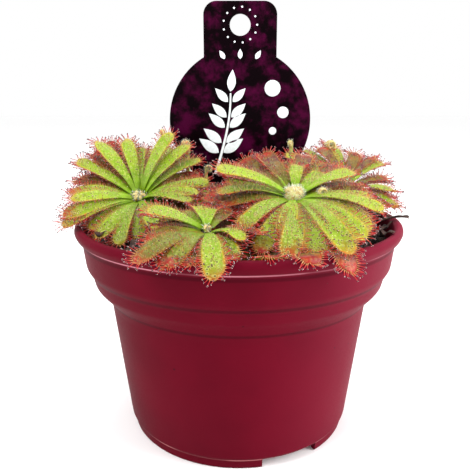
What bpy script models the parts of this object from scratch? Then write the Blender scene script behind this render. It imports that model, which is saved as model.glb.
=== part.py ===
"""A potted sundew: six sticky-leaved rosettes in peat, in a low plastic nursery pot with a plant label.

The pot stands on Z = 0 with its axis on Z, and its front faces -Y. Sizes below are in millimetres and
degrees. The meshes are in metres.
"""

import math
import random

import bmesh
import bpy
from mathutils import Matrix, Vector, noise

MM = 0.001
SHARP_FROM = 40.0

# Pot, turned. Each point is (radius, height), from the rim down the outer side.
POT_SIDES = 36
WALL_OUTSIDE = (
    (43.4, 59.0), (44.6, 58.7), (45.0, 57.4), (44.4, 56.0), (43.1, 54.9), (42.3, 48.2), (41.8, 47.2),
    (40.9, 45.8), (40.2, 42.9), (39.3, 41.7), (37.2, 39.4), (36.4, 38.4), (36.0, 36.6), (31.9, 3.3),
    (31.1, 2.5),
)
WALL_INSIDE = (
    (42.5, 58.4), (41.9, 53.6), (41.2, 48.1), (39.3, 43.4), (35.2, 38.4), (34.9, 36.6), (30.9, 4.8),
    (30.3, 3.9),
)
FOOT_OUTER_R = 30.9
FOOT_INNER_R = 29.2
FOOT_DRAFT = 0.2
FLOOR_UNDER_Z = 2.9
FLOOR_TOP_Z = 3.9

# The foot ring is broken by gaps, and the floor drains through round holes.
FOOT_GAPS = 3
FOOT_GAP_WIDTH = 16.0
FOOT_GAP_DEPTH = 9.0
FOOT_GAP_ROOF = 0.2
FIRST_GAP_AT = -64.0
DRAIN_HOLES = 6
DRAIN_HOLE_R = 2.75
DRAIN_HOLE_SIDES = 12
DRAIN_CIRCLE_R = 21.0
FIRST_DRAIN_HOLE_AT = 31.0
CUT_PAST = 1.0

# Peat, with a mound in the middle and lumps that fade out at the wall. What touches keeps a small gap.
# Each kind of lump is (waves per mm, share of the height, layer of the noise).
GAP = 0.3
SOIL_EDGE_Z = 54.0
SOIL_MOUND = 4.5
SOIL_LUMPS = 0.9
KINDS_OF_LUMP = ((0.16, 1.0, 3.0), (0.37, 0.6, 9.0))
LUMPS_FADE = 4.0
SOIL_RINGS = 5
SOIL_BEVEL = 0.3
SOIL_WALL = ((41.2, 51.5), (38.6, 43.1), (34.5, 37.6), (30.5, 5.0), (29.8, 4.2))

# Stems, each standing in a hole in the peat.
STEM_R = 2.6
STEM_TOP_SHARE = 0.8
STEM_SIDES = 10
STEM_DEPTH = 7.0

# Leaf blade: a narrow stalk that widens into a spoon with a round end. A short leaf is narrower than a
# full one, and a leaf that rises more grows higher on the stem.
BLADE_THICKNESS = 0.7
STALK_HALF_WIDTH = 0.75
WIDEST_AT = 0.85
CUPPING = 0.2
LEAF_ROOT_R = 1.6
LEAF_DROOP = 40.0
ROOT_CLIMB = 0.08
FULL_LENGTH = 20.0
NARROW_SHARE = 0.5
STATIONS = (0.0, 0.4, 0.7, 0.91)

# Margin tentacles, at some of the stations and at the tip. Nearer the tip they point further ahead.
FRINGED = (0.7, 0.91)
TENTACLE_BASE = 0.55
TENTACLE_LENGTH = 2.3
TENTACLE_LIFT = 0.3
AHEAD_FROM = 0.4
AHEAD_GAIN = 1.5

# Crown: a knob of curled young leaves.
CROWN_R = 2.3
CROWN_LIFT = 0.6
YOUNG_KNOBS = 3
YOUNG_KNOB_R = 1.0
YOUNG_KNOB_OUT = 1.4
FIRST_KNOB_AT = 30

# Plant label: a round head with a tab above, a stake below and a hole to hang it by.
LABEL_Y = 27.0
LABEL_X = 0.6
LABEL_THICKNESS = 0.8
HEAD_R = 22.4
HEAD_Z = 84.6
TAB_HALF_WIDTH = 11.3
TAB_TOP_Z = 120.3
TAB_CORNER_R = 4.0
HANG_HOLE_R = 3.2
HANG_HOLE_Z = 113.4
STAKE_HALF_WIDTH = 4.5
STAKE_TIP_HALF_WIDTH = 1.5
STAKE_BEND_Z = 34.0
STAKE_TIP_Z = 24.0
HEAD_STEPS = 20
CORNER_STEPS = 4
HANG_HOLE_SIDES = 24

# The rosettes. A crown is (x, y, z). A rosette leans towards an azimuth by an angle. A leaf is
# (azimuth, length, rise from the rosette's disc): 0 is +X, 90 is +Y and -90 is the front.
ROSETTES = {
    "rosette_left": {
        "crown": (-27.0, -4.0, 64.5),
        "leans": (-92, 30),
        "width": 3.7,
        "leaves": (
            (-160, 16, 17), (-150, 18, 11), (-156, 20, 7), (-139, 20, 8), (-127, 15, 5), (-114, 17, 7),
            (-98, 17, 6), (-82, 14, 3), (-66, 14, 10), (-50, 13, 4), (-34, 15, 18), (-16, 15, 14),
            (-7, 16, 0), (3, 13, 5), (10, 17, 10), (25, 17, -3), (33, 18, 12),
            (54, 18, 5), (44, 18, 20), (69, 17, 13), (60, 18, 27), (85, 20, 2), (97, 15, 16),
            (110, 17, 21), (106, 20, -3), (127, 17, 9), (133, 19, 21), (147, 17, 8), (155, 19, 14),
            (165, 16, -3), (176, 17, 8), (186, 18, -7),
        ),
    },
    "rosette_right": {
        "crown": (13.6, -17.0, 67.0),
        "leans": (-88, 22),
        "width": 4.5,
        "leaves": (
            (176, 18, 20), (187, 17, 8), (167, 18, -3), (-163, 16, 4), (-172, 17, -8), (-136, 18, 5),
            (-150, 17, -7), (-124, 18, -6), (-111, 21, 2), (-97, 17, 8), (-94, 23, 6), (-80, 23, 4),
            (-72, 19, -2), (-66, 24, 7), (-56, 22, 8), (-48, 18, -3), (-40, 20, 6),
            (-29, 20, 9), (-14, 17, -2), (4, 17, 2), (20, 15, 12), (34, 16, -5), (50, 10, 10),
            (64, 18, 1), (84, 9, 16), (93, 19, -3), (113, 15, 8), (134, 17, -1), (156, 16, 2),
        ),
    },
    "rosette_front": {
        "crown": (-7.2, -33.0, 62.5),
        "leans": (-100, 8),
        "width": 4.4,
        "leaves": (
            (150, 14, 4), (172, 12, 15), (200, 12, 2), (-141, 17, 2), (-117, 13, 1), (-99, 13, -6),
            (-80, 15.5, 2), (-56, 10, -4), (-30, 8, 4), (82, 6, 14), (106, 8, 12), (126, 11, 2),
        ),
    },
    "rosette_middle": {
        "crown": (1.5, 9.0, 62.0),
        "leans": (180, 6),
        "width": 3.8,
        "leaves": (
            (176, 15, 8), (-156, 14, 2), (-128, 12, 4), (150, 16, 10), (122, 15, 4), (94, 14, 10),
            (64, 13, 2), (32, 10, 8), (-84, 10, 0),
        ),
    },
    "rosette_right_back": {
        "crown": (31.0, 8.0, 65.5),
        "leans": (-80, 14),
        "width": 4.0,
        "leaves": (
            (46, 16, 12), (25, 14, 0), (-20, 14, 7), (-38, 15, -2), (-8, 13, -12), (9, 12, -10),
            (-62, 11, 3), (-105, 9, 0), (164, 17, 20), (128, 17, 16), (114, 15, 6), (98, 19, 16),
            (82, 14, 7), (66, 23, -5), (84, 25, -9), (105, 24, -9), (140, 16, -9), (184, 12, -3),
        ),
    },
    "rosette_left_back": {
        "crown": (-9.0, 34.6, 61.0),
        "leans": (90, 8),
        "width": 3.8,
        "leaves": (
            (-8, 17, 6), (11, 20, 0), (33, 16, 1), (58, 13, 4), (84, 13, 0), (108, 13, 6),
            (132, 14, 0), (155, 17, 4), (172, 20, 0), (188, 18, 8),
        ),
    },
}
SIDEWAYS_BEND = 0.08
MOST_TWIST = 12.0
SEED = 7


def collection_of(name):
    found = bpy.data.collections.new(name)
    bpy.context.scene.collection.children.link(found)
    return found


def clear_scene():
    for obj in list(bpy.data.objects):
        bpy.data.objects.remove(obj, do_unlink=True)


def material(name, colour, roughness):
    made = bpy.data.materials.new(name)
    made.use_nodes = True
    shader = made.node_tree.nodes["Principled BSDF"]
    shader.inputs["Base Color"].default_value = (*colour, 1.0)
    shader.inputs["Roughness"].default_value = roughness
    return made


def object_from(shape, name, collection, finish=None):
    """A new object holding the bmesh `shape`, which is in millimetres. Its gentle edges shade smooth."""
    shape.transform(Matrix.Scale(MM, 4))
    mesh = bpy.data.meshes.new(name)
    shape.to_mesh(mesh)
    shape.free()
    mesh.shade_smooth()
    mesh.set_sharp_from_angle(angle=math.radians(SHARP_FROM))
    made = bpy.data.objects.new(name, mesh)
    collection.objects.link(made)
    if finish:
        mesh.materials.append(finish)
    return made


def as_helper(obj):
    obj.hide_render = True
    obj.display_type = "WIRE"
    return obj


def turned(name, profile, collection, finish):
    """A profile of (radius, height) points spun round Z. It runs outwards inside and down outside."""
    shape = bmesh.new()
    points = [shape.verts.new((radius, 0, height)) for radius, height in profile]
    for first, second in zip(points, points[1:]):
        shape.edges.new((first, second))
    made = object_from(shape, name, collection, finish)
    spin = made.modifiers.new("spin", "SCREW")
    spin.axis = "Z"
    spin.steps = spin.render_steps = POT_SIDES
    spin.use_merge_vertices = True
    spin.merge_threshold = 0.00001
    spin.use_smooth_shade = True
    return made


def cut(obj, cutter):
    made = obj.modifiers.new("cut " + cutter.name, "BOOLEAN")
    made.operation = "DIFFERENCE"
    made.object = cutter
    made.solver = "EXACT"


def block(name, size, place, turn, cutters):
    shape = bmesh.new()
    bmesh.ops.create_cube(shape, size=1.0)
    shape.transform(Matrix.LocRotScale(Vector(place), Matrix.Rotation(turn, 3, "Z"), Vector(size)))
    return as_helper(object_from(shape, name, cutters))


def round_bar(name, radius, sides, place, ends, cutters):
    """An upright cylinder at (x, y) between two heights."""
    low, high = ends
    shape = bmesh.new()
    bmesh.ops.create_cone(
        shape, cap_ends=True, segments=sides, radius1=radius, radius2=radius, depth=high - low
    )
    shape.transform(Matrix.Translation((place[0], place[1], (low + high) / 2)))
    return as_helper(object_from(shape, name, cutters))


def polar(radius, degrees):
    angle = math.radians(degrees)
    return radius * math.cos(angle), radius * math.sin(angle)


def make_pot(parts, cutters):
    """The pot: a thin wall with a rolled rim, two bands, a shoulder, a floor and a broken foot ring."""
    foot = ((FOOT_OUTER_R, 0.0), (FOOT_INNER_R, 0.0), (FOOT_INNER_R - FOOT_DRAFT, FLOOR_UNDER_Z))
    inside = ((0.0, FLOOR_TOP_Z), *reversed(WALL_INSIDE))
    profile = (*inside, *WALL_OUTSIDE, *foot, (0.0, FLOOR_UNDER_Z))
    pot = turned("pot", profile, parts, material("pot plastic", (0.24, 0.012, 0.03), 0.42))
    gap_top = FLOOR_UNDER_Z - FOOT_GAP_ROOF
    gap_size = (FOOT_GAP_DEPTH, FOOT_GAP_WIDTH, gap_top + CUT_PAST)
    for index in range(FOOT_GAPS):
        angle = FIRST_GAP_AT + index * 360 / FOOT_GAPS
        middle = (*polar(FOOT_OUTER_R, angle), (gap_top - CUT_PAST) / 2)
        cut(pot, block(f"foot gap {index + 1}", gap_size, middle, math.radians(angle), cutters))
    for index in range(DRAIN_HOLES):
        place = polar(DRAIN_CIRCLE_R, FIRST_DRAIN_HOLE_AT + index * 360 / DRAIN_HOLES)
        name = f"drain hole {index + 1}"
        ends = (FLOOR_UNDER_Z - CUT_PAST, FLOOR_TOP_Z + CUT_PAST)
        cut(pot, round_bar(name, DRAIN_HOLE_R, DRAIN_HOLE_SIDES, place, ends, cutters))


def soil_height(x, y):
    """Height of the lumpy peat at (x, y)."""
    radius = math.hypot(x, y)
    edge = SOIL_WALL[0][0]
    mound = SOIL_MOUND * max(0.0, 1 - (radius / edge) ** 2)
    fade = min(1.0, (edge - radius) / LUMPS_FADE)
    lumps = sum(
        share * noise.noise(Vector((x, y, layer)) * waves) for waves, share, layer in KINDS_OF_LUMP
    )
    return SOIL_EDGE_Z + mound + SOIL_LUMPS * lumps * fade


def make_soil(parts):
    """The peat: one body that fills the pot up to just under its rim."""
    shape = bmesh.new()
    edge = SOIL_WALL[0][0]
    angles = [math.tau * side / POT_SIDES for side in range(POT_SIDES)]
    rings = []
    for radius, height in reversed(SOIL_WALL):
        rings.append(
            [shape.verts.new((radius * math.cos(a), radius * math.sin(a), height)) for a in angles]
        )
    for ring in range(SOIL_RINGS):
        radius = (edge - SOIL_BEVEL) * (1 - ring / SOIL_RINGS)
        points = [(radius * math.cos(a), radius * math.sin(a)) for a in angles]
        rings.append([shape.verts.new((x, y, soil_height(x, y))) for x, y in points])
    for low, high in zip(rings, rings[1:]):
        for side in range(POT_SIDES):
            after = (side + 1) % POT_SIDES
            shape.faces.new((low[side], low[after], high[after], high[side]))
    bottom = shape.verts.new((0, 0, SOIL_WALL[-1][1]))
    top = shape.verts.new((0, 0, soil_height(0, 0)))
    for side in range(POT_SIDES):
        after = (side + 1) % POT_SIDES
        shape.faces.new((bottom, rings[0][after], rings[0][side]))
        shape.faces.new((top, rings[-1][side], rings[-1][after]))
    return object_from(shape, "soil", parts, material("peat", (0.03, 0.018, 0.012), 0.95))


def half_width(t, widest):
    """Half of the blade's width at share t of its length."""
    if t <= WIDEST_AT:
        s = t / WIDEST_AT
        return STALK_HALF_WIDTH + (widest / 2 - STALK_HALF_WIDTH) * s * s * (3 - 2 * s)
    s = (t - WIDEST_AT) / (1 - WIDEST_AT)
    return widest / 2 * math.sqrt(max(0.0, 1 - s * s))


def leaf_direction(t, leaf):
    """The blade's forward and upward directions at share t of its length. It arches down."""
    angle = math.radians(leaf["rise"] + LEAF_DROOP * (0.5 - t))
    return Vector((math.cos(angle), 0, math.sin(angle))), Vector((-math.sin(angle), 0, math.cos(angle)))


def leaf_point(t, across, leaf):
    """A point of the arched, cupped blade: t runs root to tip, and across from -1 to 1."""
    turn = math.radians(LEAF_DROOP)
    upward = leaf_direction(t, leaf)[1]
    first_upward = leaf_direction(0, leaf)[1]
    spine = (first_upward - upward) * -leaf["length"] / turn
    spine += Vector((LEAF_ROOT_R, leaf["bend"] * leaf["length"] * t * t, leaf["rise"] * ROOT_CLIMB))
    wide = half_width(t, leaf["width"]) * across
    return spine + Vector((0, wide, 0)) + upward * CUPPING * abs(wide)


def tentacle_tip(root, t, side, leaf):
    """The end of a margin tentacle, which spreads outwards, forwards and up from its root."""
    forward, upward = leaf_direction(t, leaf)
    ahead = max(0.0, t - AHEAD_FROM) * AHEAD_GAIN
    direction = Vector((0, side, 0)) + forward * ahead + upward * TENTACLE_LIFT
    return root + direction.normalized() * TENTACLE_LENGTH


def leaf_shape(leaf, place):
    """The blade's middle surface, with its fringe of margin tentacles as long narrow teeth."""
    shape = bmesh.new()

    def vertex(point):
        return shape.verts.new(place @ point)

    half_base = TENTACLE_BASE / 2 / leaf["length"]
    middle = [vertex(leaf_point(t, 0, leaf)) for t in STATIONS]
    ends = {}
    for side in (-1, 1):
        margin = []
        for t in STATIONS:
            if t in FRINGED:
                before, after = t - half_base, t + half_base
                pair = [vertex(leaf_point(s, side, leaf)) for s in (before, after)]
                tip = vertex(tentacle_tip(leaf_point(t, side, leaf), t, side, leaf))
                margin.append(pair)
                faces = [(middle[len(margin) - 1], *pair), (pair[0], tip, pair[1])]
                for face in faces:
                    shape.faces.new(face if side < 0 else tuple(reversed(face)))
            else:
                margin.append([vertex(leaf_point(t, side, leaf))] * 2)
        for row in range(len(STATIONS) - 1):
            face = (middle[row], margin[row][1], margin[row + 1][0], middle[row + 1])
            shape.faces.new(face if side < 0 else tuple(reversed(face)))
        ends[side] = margin[-1][1]
    root = leaf_point(1.0, 0, leaf)
    corners = {s: vertex(root + Vector((0, s * TENTACLE_BASE / 2, 0))) for s in (-1, 1)}
    tip = vertex(tentacle_tip(root, 1.0, 0, leaf))
    last = middle[-1]
    shape.faces.new((last, ends[-1], corners[-1]))
    shape.faces.new((last, corners[-1], corners[1]))
    shape.faces.new((last, corners[1], ends[1]))
    shape.faces.new((corners[-1], tip, corners[1]))
    return shape


def rosette_frame(rosette):
    """The matrix from the rosette's disc, with its crown at zero, to the row frame in millimetres."""
    towards, angle = rosette["leans"]
    axis = Vector((-math.sin(math.radians(towards)), math.cos(math.radians(towards)), 0))
    return Matrix.Translation(rosette["crown"]) @ Matrix.Rotation(math.radians(angle), 4, axis)


def leaves_of(rosette, draw):
    """Each leaf's sizes and the matrix that places it, with a small random bend and twist."""
    frame = rosette_frame(rosette)
    for azimuth, length, rise in rosette["leaves"]:
        leaf = {
            "length": length,
            "rise": rise,
            "width": rosette["width"] * (NARROW_SHARE + (1 - NARROW_SHARE) * length / FULL_LENGTH),
            "bend": draw.uniform(-SIDEWAYS_BEND, SIDEWAYS_BEND),
        }
        twist = math.radians(draw.uniform(-MOST_TWIST, MOST_TWIST))
        turn = Matrix.Rotation(math.radians(azimuth), 4, "Z") @ Matrix.Rotation(twist, 4, "X")
        yield leaf, frame @ turn


def make_stem(name, rosette, parts, finish):
    """The stem and the crown knob, which every leaf of the rosette is joined to."""
    x, y, z = rosette["crown"]
    foot = soil_height(x, y) - STEM_DEPTH
    top_r = STEM_R * STEM_TOP_SHARE
    shape = bmesh.new()
    bmesh.ops.create_cone(
        shape, cap_ends=True, segments=STEM_SIDES, radius1=STEM_R, radius2=top_r, depth=z - foot
    )
    shape.transform(Matrix.Translation((x, y, (z + foot) / 2)))
    return object_from(shape, name, parts, finish)


def make_knobs(rosette, joined):
    """The crown's ball and the curled young leaves round it."""
    frame = rosette_frame(rosette)
    places = [((0, 0, CROWN_LIFT), CROWN_R)]
    for index in range(YOUNG_KNOBS):
        x, y = polar(YOUNG_KNOB_OUT, FIRST_KNOB_AT + index * 360 / YOUNG_KNOBS)
        places.append(((x, y, CROWN_R), YOUNG_KNOB_R))
    for place, radius in places:
        shape = bmesh.new()
        bmesh.ops.create_icosphere(shape, subdivisions=1, radius=radius)
        shape.transform(frame @ Matrix.Translation(place))
        object_from(shape, "knob", joined)


def keep_main_body(mesh):
    """Leave only the mesh's largest island. The others are small hollows that the union sealed."""
    shape = bmesh.new()
    shape.from_mesh(mesh)
    unseen = set(shape.faces)
    islands = []
    while unseen:
        island = set()
        border = {unseen.pop()}
        while border:
            island |= border
            border = {f for face in border for e in face.edges for f in e.link_faces} - island
        unseen -= island
        islands.append(island)
    islands.sort(key=len)
    small = [face for island in islands[:-1] for face in island]
    bmesh.ops.delete(shape, geom=small, context="FACES")
    shape.to_mesh(mesh)
    shape.free()


def make_rosette(name, rosette, parts, finish, draw):
    """One plant: its stem, crown and fringed leaves, joined into a single body."""
    stem = make_stem(name, rosette, parts, finish)
    joined = collection_of("joined to " + name)
    make_knobs(rosette, joined)
    for leaf, place in leaves_of(rosette, draw):
        blade = object_from(leaf_shape(leaf, place), "leaf", joined)
        thick = blade.modifiers.new("thickness", "SOLIDIFY")
        thick.thickness = BLADE_THICKNESS * MM
        thick.offset = 0.0
    union = stem.modifiers.new("join", "BOOLEAN")
    union.operation = "UNION"
    union.operand_type = "COLLECTION"
    union.collection = joined
    union.solver = "MANIFOLD"
    graph = bpy.context.evaluated_depsgraph_get()
    whole = bpy.data.meshes.new_from_object(stem.evaluated_get(graph))
    keep_main_body(whole)
    stem.modifiers.clear()
    stem.data = whole
    stem.data.name = name
    for obj in list(joined.objects):
        bpy.data.objects.remove(obj, do_unlink=True)
    bpy.data.collections.remove(joined)
    return stem


def arc(centre, radius, start, end, steps):
    """Points of an arc from start to end degrees, both included."""
    return [
        (centre[0] + x, centre[1] + y)
        for x, y in (polar(radius, start + (end - start) * i / steps) for i in range(steps + 1))
    ]


def label_outline():
    """The label's outline in its own plane, counter-clockwise from the foot of its stake."""
    tab_meets = math.degrees(math.acos(TAB_HALF_WIDTH / HEAD_R))
    stake_meets = math.degrees(math.asin(STAKE_HALF_WIDTH / HEAD_R))
    corner = TAB_HALF_WIDTH - TAB_CORNER_R
    corner_z = TAB_TOP_Z - TAB_CORNER_R
    right = [(0.0, STAKE_TIP_Z), (STAKE_TIP_HALF_WIDTH, STAKE_TIP_Z), (STAKE_HALF_WIDTH, STAKE_BEND_Z)]
    right += arc((0.0, HEAD_Z), HEAD_R, stake_meets - 90, tab_meets, HEAD_STEPS)
    right += arc((corner, corner_z), TAB_CORNER_R, 0, 90, CORNER_STEPS)
    left = [(-x, z) for x, z in reversed(right[1:])]
    return right + left


def poly_line(curve, points):
    """A closed straight-sided outline on a flat curve."""
    line = curve.splines.new("POLY")
    line.points.add(len(points) - 1)
    for point, (x, z) in zip(line.points, points):
        point.co = (x * MM, z * MM, 0, 1)
    line.use_cyclic_u = True


def make_label(parts):
    """The plant label, a flat card that stands upright behind the rosettes with its stake in the peat."""
    curve = bpy.data.curves.new("label", "CURVE")
    curve.dimensions = "2D"
    curve.fill_mode = "BOTH"
    curve.extrude = LABEL_THICKNESS / 2 * MM
    poly_line(curve, label_outline())
    last = 360 - 360 / HANG_HOLE_SIDES
    poly_line(curve, arc((0.0, HANG_HOLE_Z), HANG_HOLE_R, 0, last, HANG_HOLE_SIDES - 1))
    curve.materials.append(material("label card", (0.035, 0.004, 0.02), 0.35))
    label = bpy.data.objects.new("label", curve)
    label.location = (LABEL_X * MM, LABEL_Y * MM, 0)
    label.rotation_euler = (math.pi / 2, 0, 0)
    parts.objects.link(label)
    return label


def open_holes(soil, cutters):
    """A plain hole in the peat for each stem, and a slot for the label's stake."""
    above = SOIL_EDGE_Z + SOIL_MOUND + SOIL_LUMPS + CUT_PAST
    for name, rosette in ROSETTES.items():
        x, y, _ = rosette["crown"]
        ends = (soil_height(x, y) - STEM_DEPTH - GAP, above)
        cut(soil, round_bar("hole for " + name, STEM_R + GAP, STEM_SIDES, (x, y), ends, cutters))
    low = STAKE_TIP_Z - GAP
    size = (2 * (STAKE_HALF_WIDTH + GAP), LABEL_THICKNESS + 2 * GAP, above - low)
    cut(soil, block("slot for stake", size, (LABEL_X, LABEL_Y, (above + low) / 2), 0.0, cutters))


def main():
    clear_scene()
    parts = collection_of("potted sundew")
    cutters = collection_of("cutters")
    make_pot(parts, cutters)
    soil = make_soil(parts)
    open_holes(soil, cutters)
    make_label(parts)
    leaf_green = material("sundew leaf", (0.32, 0.42, 0.05), 0.45)
    draw = random.Random(SEED)
    for name, rosette in ROSETTES.items():
        make_rosette(name, rosette, parts, leaf_green, draw)


main()
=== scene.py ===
"""The looks of a potted sundew: six sticky-leaved rosettes in peat, in a nursery pot with a plant label.

It is laid out as an add-on and runs as a script. Shapes are worked out in millimetres and degrees in the
part's own frame, and a mesh is in metres.
"""

import itertools
import math
import random

import bmesh
import bpy
from bpy.props import FloatProperty, FloatVectorProperty, IntProperty, PointerProperty
from mathutils import Matrix, Vector, noise


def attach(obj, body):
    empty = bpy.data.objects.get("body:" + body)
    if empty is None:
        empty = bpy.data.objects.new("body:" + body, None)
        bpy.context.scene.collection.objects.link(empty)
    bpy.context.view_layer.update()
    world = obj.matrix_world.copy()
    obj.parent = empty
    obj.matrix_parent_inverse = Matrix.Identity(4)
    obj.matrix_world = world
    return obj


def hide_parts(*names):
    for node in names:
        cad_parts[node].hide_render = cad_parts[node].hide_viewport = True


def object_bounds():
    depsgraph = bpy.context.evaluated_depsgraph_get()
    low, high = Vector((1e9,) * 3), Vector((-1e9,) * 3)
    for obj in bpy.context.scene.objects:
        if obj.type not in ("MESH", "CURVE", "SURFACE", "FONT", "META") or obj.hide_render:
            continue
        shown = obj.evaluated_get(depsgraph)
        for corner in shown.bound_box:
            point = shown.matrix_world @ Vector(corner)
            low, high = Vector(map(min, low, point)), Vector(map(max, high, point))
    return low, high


bl_info = {
    "name": "Potted sundew",
    "version": (1, 0, 0),
    "blender": (4, 5, 0),
    "location": "3D View > Sidebar > Sundew",
    "description": "Builds the visible pieces of a potted sundew",
    "category": "Object",
}

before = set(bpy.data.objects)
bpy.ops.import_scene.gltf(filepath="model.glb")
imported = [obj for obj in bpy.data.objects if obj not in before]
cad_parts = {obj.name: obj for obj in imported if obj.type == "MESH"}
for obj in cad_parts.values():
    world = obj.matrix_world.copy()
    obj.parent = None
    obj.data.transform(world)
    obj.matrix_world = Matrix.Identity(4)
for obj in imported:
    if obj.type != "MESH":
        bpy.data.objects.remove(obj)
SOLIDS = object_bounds()

MM = 0.001

# Pot profile: (radius, height) down the outer side, up the inner side, and the foot ring.
POT_OUTSIDE = (
    (43.4, 59.0), (44.6, 58.7), (45.0, 57.4), (44.4, 56.0), (43.1, 54.9), (42.3, 48.2), (41.8, 47.2),
    (40.9, 45.8), (40.2, 42.9), (39.3, 41.7), (37.2, 39.4), (36.4, 38.4), (36.0, 36.6), (31.9, 3.3),
    (31.1, 2.5),
)
POT_INSIDE = (
    (42.5, 58.4), (41.9, 53.6), (41.2, 48.1), (39.3, 43.4), (35.2, 38.4), (34.9, 36.6), (30.9, 4.8),
    (30.3, 3.9),
)
FOOT_OUTER_R = 30.9
FOOT_INNER_R = 29.2
FLOOR_UNDER_Z = 2.9
FLOOR_TOP_Z = 3.9
FOOT_GAPS = 3
FOOT_GAP_WIDTH = 16.0
FOOT_GAP_DEPTH = 9.0
FIRST_GAP_AT = -64.0
DRAIN_HOLES = 6
DRAIN_HOLE_R = 2.75
DRAIN_CIRCLE_R = 21.0
FIRST_DRAIN_HOLE_AT = 31.0

# Marks on the pot: the height and half width of the painted highlight lines under the rim and at the foot,
# the least radius at which the upper one shows, and the height of the painted shade line in each crease.
RIM_HIGHLIGHT = (55.5, 0.36)
FOOT_HIGHLIGHT = (2.6, 0.3)
RIM_HIGHLIGHT_R = 43.2
CREASE_SHADES_Z = (54.3, 46.6, 38.6)
CREASE_SHADE_HALF = 0.7

# Peat. A kind of lump is (waves to a millimetre, share of the height, layer of the noise).
SOIL_EDGE_Z = 54.0
SOIL_MOUND = 4.5
SOIL_LUMPS = 0.9
KINDS_OF_LUMP = ((0.16, 1.0, 3.0), (0.37, 0.6, 9.0))
LUMPS_FADE = 4.0
SOIL_WALL = ((41.2, 51.5), (38.6, 43.1), (34.5, 37.6), (30.5, 5.0), (29.8, 4.2))
CRUMBLED = 0.45
KINDS_OF_CRUMBLE = ((0.9, 1.0, 5.0), (2.1, 0.5, 2.0))
BED_SIDES = 144
BED_RINGS = 46
BED_CLEARANCE = 0.3
FIBRES_ABOVE = 0.9
GRIT_ABOVE = 0.965

# Where a leaf may lie: above the peat, above the rim, and past the rim on a slope down the outside.
ABOVE_PEAT = 0.6
ABOVE_RIM = 0.4
PEAT_TO_R = 41.0
RIM_FROM_R = 38.5
RIM_TO_R = 42.5
FALL_FROM_R = 45.2
FALL_SLOPE = 1.6

# Leaf blade.
STALK_HALF_WIDTH = 0.75
WIDEST_AT = 0.85
FULL_WIDTH_FROM = 0.74
LEAF_ROOT_R = 1.6
LEAF_DROOP = 40.0
ROOT_CLIMB = 0.08
SIDEWAYS_BEND = 0.08
MOST_TWIST = 12.0
SEED = 7

# A blade's width against its length: NARROW_SHARE at no length, 1 at FULL_LENGTH and no more than
# at WIDEST_SHARE times that. A leaf past LONG_LEAF hangs twice as much.
NARROW_SHARE = 0.5
FULL_LENGTH = 20.0
WIDEST_SHARE = 1.25
LONG_LEAF = 24.0

# Age runs from 0 to 1, and tone is how far a leaf leans to the shade colour: a random share whose top grows
# as the leaf sinks, as painted shade on the lower leaves under the upper ones. Both grow over RISE_SPAN
# degrees as a leaf sinks. Leaves towards a rosette's red side are older. An old leaf's rise is drawn from
# OLD_RISE, and grows by up to BACK_LIFT at the back.
RISE_SPAN = 19.0
YOUNG_RISE = 12.0
LOW_AGE = 0.7
OLD_AGE = 1.15
RED_SIDE_AGE = 0.55
BRIGHT_RISE = 15.0
LEAST_TONE = 0.35
OLD_RISE = (-7, 2)
BACK_LIFT = 11

# Blade mesh: rows from the root, then round the end, and columns across.
ROWS_ALONG = 11
ROWS_ROUND_END = 6
END_SWEEP = 84.0
COLUMNS = 7

# Tentacles: where on a blade the margin's begin, the length of one at a leaf's tip against the set
# length, the longest of the random draws, and what is kept free round them in the solids' box. A
# tentacle of the face has parts of FACE_SHARE the size of a margin one's.
RIM_FROM = 0.25
TIP_GRADE = 1.3
LONGEST = 1.1
SPARE = 0.02
FACE_SHARE = 0.72

# Stem, in the peat and up to the crown.
STEM_R = 2.6
STEM_TOP_R = 2.1
STEM_DEPTH = 3.0
STEM_SIDES = 20
STEM_RINGS = 14

# Label.
LABEL_X = 0.6
LABEL_Y = 27.0
LABEL_THICKNESS = 0.8
HEAD_R = 22.4
HEAD_Z = 84.6
TAB_HALF_WIDTH = 11.3
TAB_TOP_Z = 120.3
TAB_CORNER_R = 4.0
HANG_HOLE_R = 3.2
HANG_HOLE_Z = 113.4
STAKE_HALF_WIDTH = 4.5
STAKE_TIP_HALF_WIDTH = 1.5
STAKE_BEND_Z = 34.0
STAKE_TIP_Z = 24.0

# Print, in the label's plane: a sprig, discs as (x, z, radius), small leaves of (length, width) on the
# tab, and dots round the hole.
PRINT_DEPTH = 0.08
PRINT_EDGE = 0.01
SPRIG_FOOT = (-8.0, HEAD_Z - 17.0)
SPRIG_HEIGHT = 25.5
SPRIG_SWAY = 5.0
SPRIG_PAIRS = 5
SPRIG_LEAF = 8.4
SPRIG_STALK = 0.9
PRINT_DISCS = ((10.2, 94.6, 2.5), (13.6, 87.2, 1.8), (10.4, 81.4, 1.2))
TAB_LEAVES_Z = 103.4
TAB_LEAVES_APART = 4.8
TAB_LEAVES_TURN = 32
TAB_LEAF = (3.0, 1.5)
DOTS_R = 5.2
DOTS_END = 334.3
DOTS_APART = 2.333
DOT_R = 0.3

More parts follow.
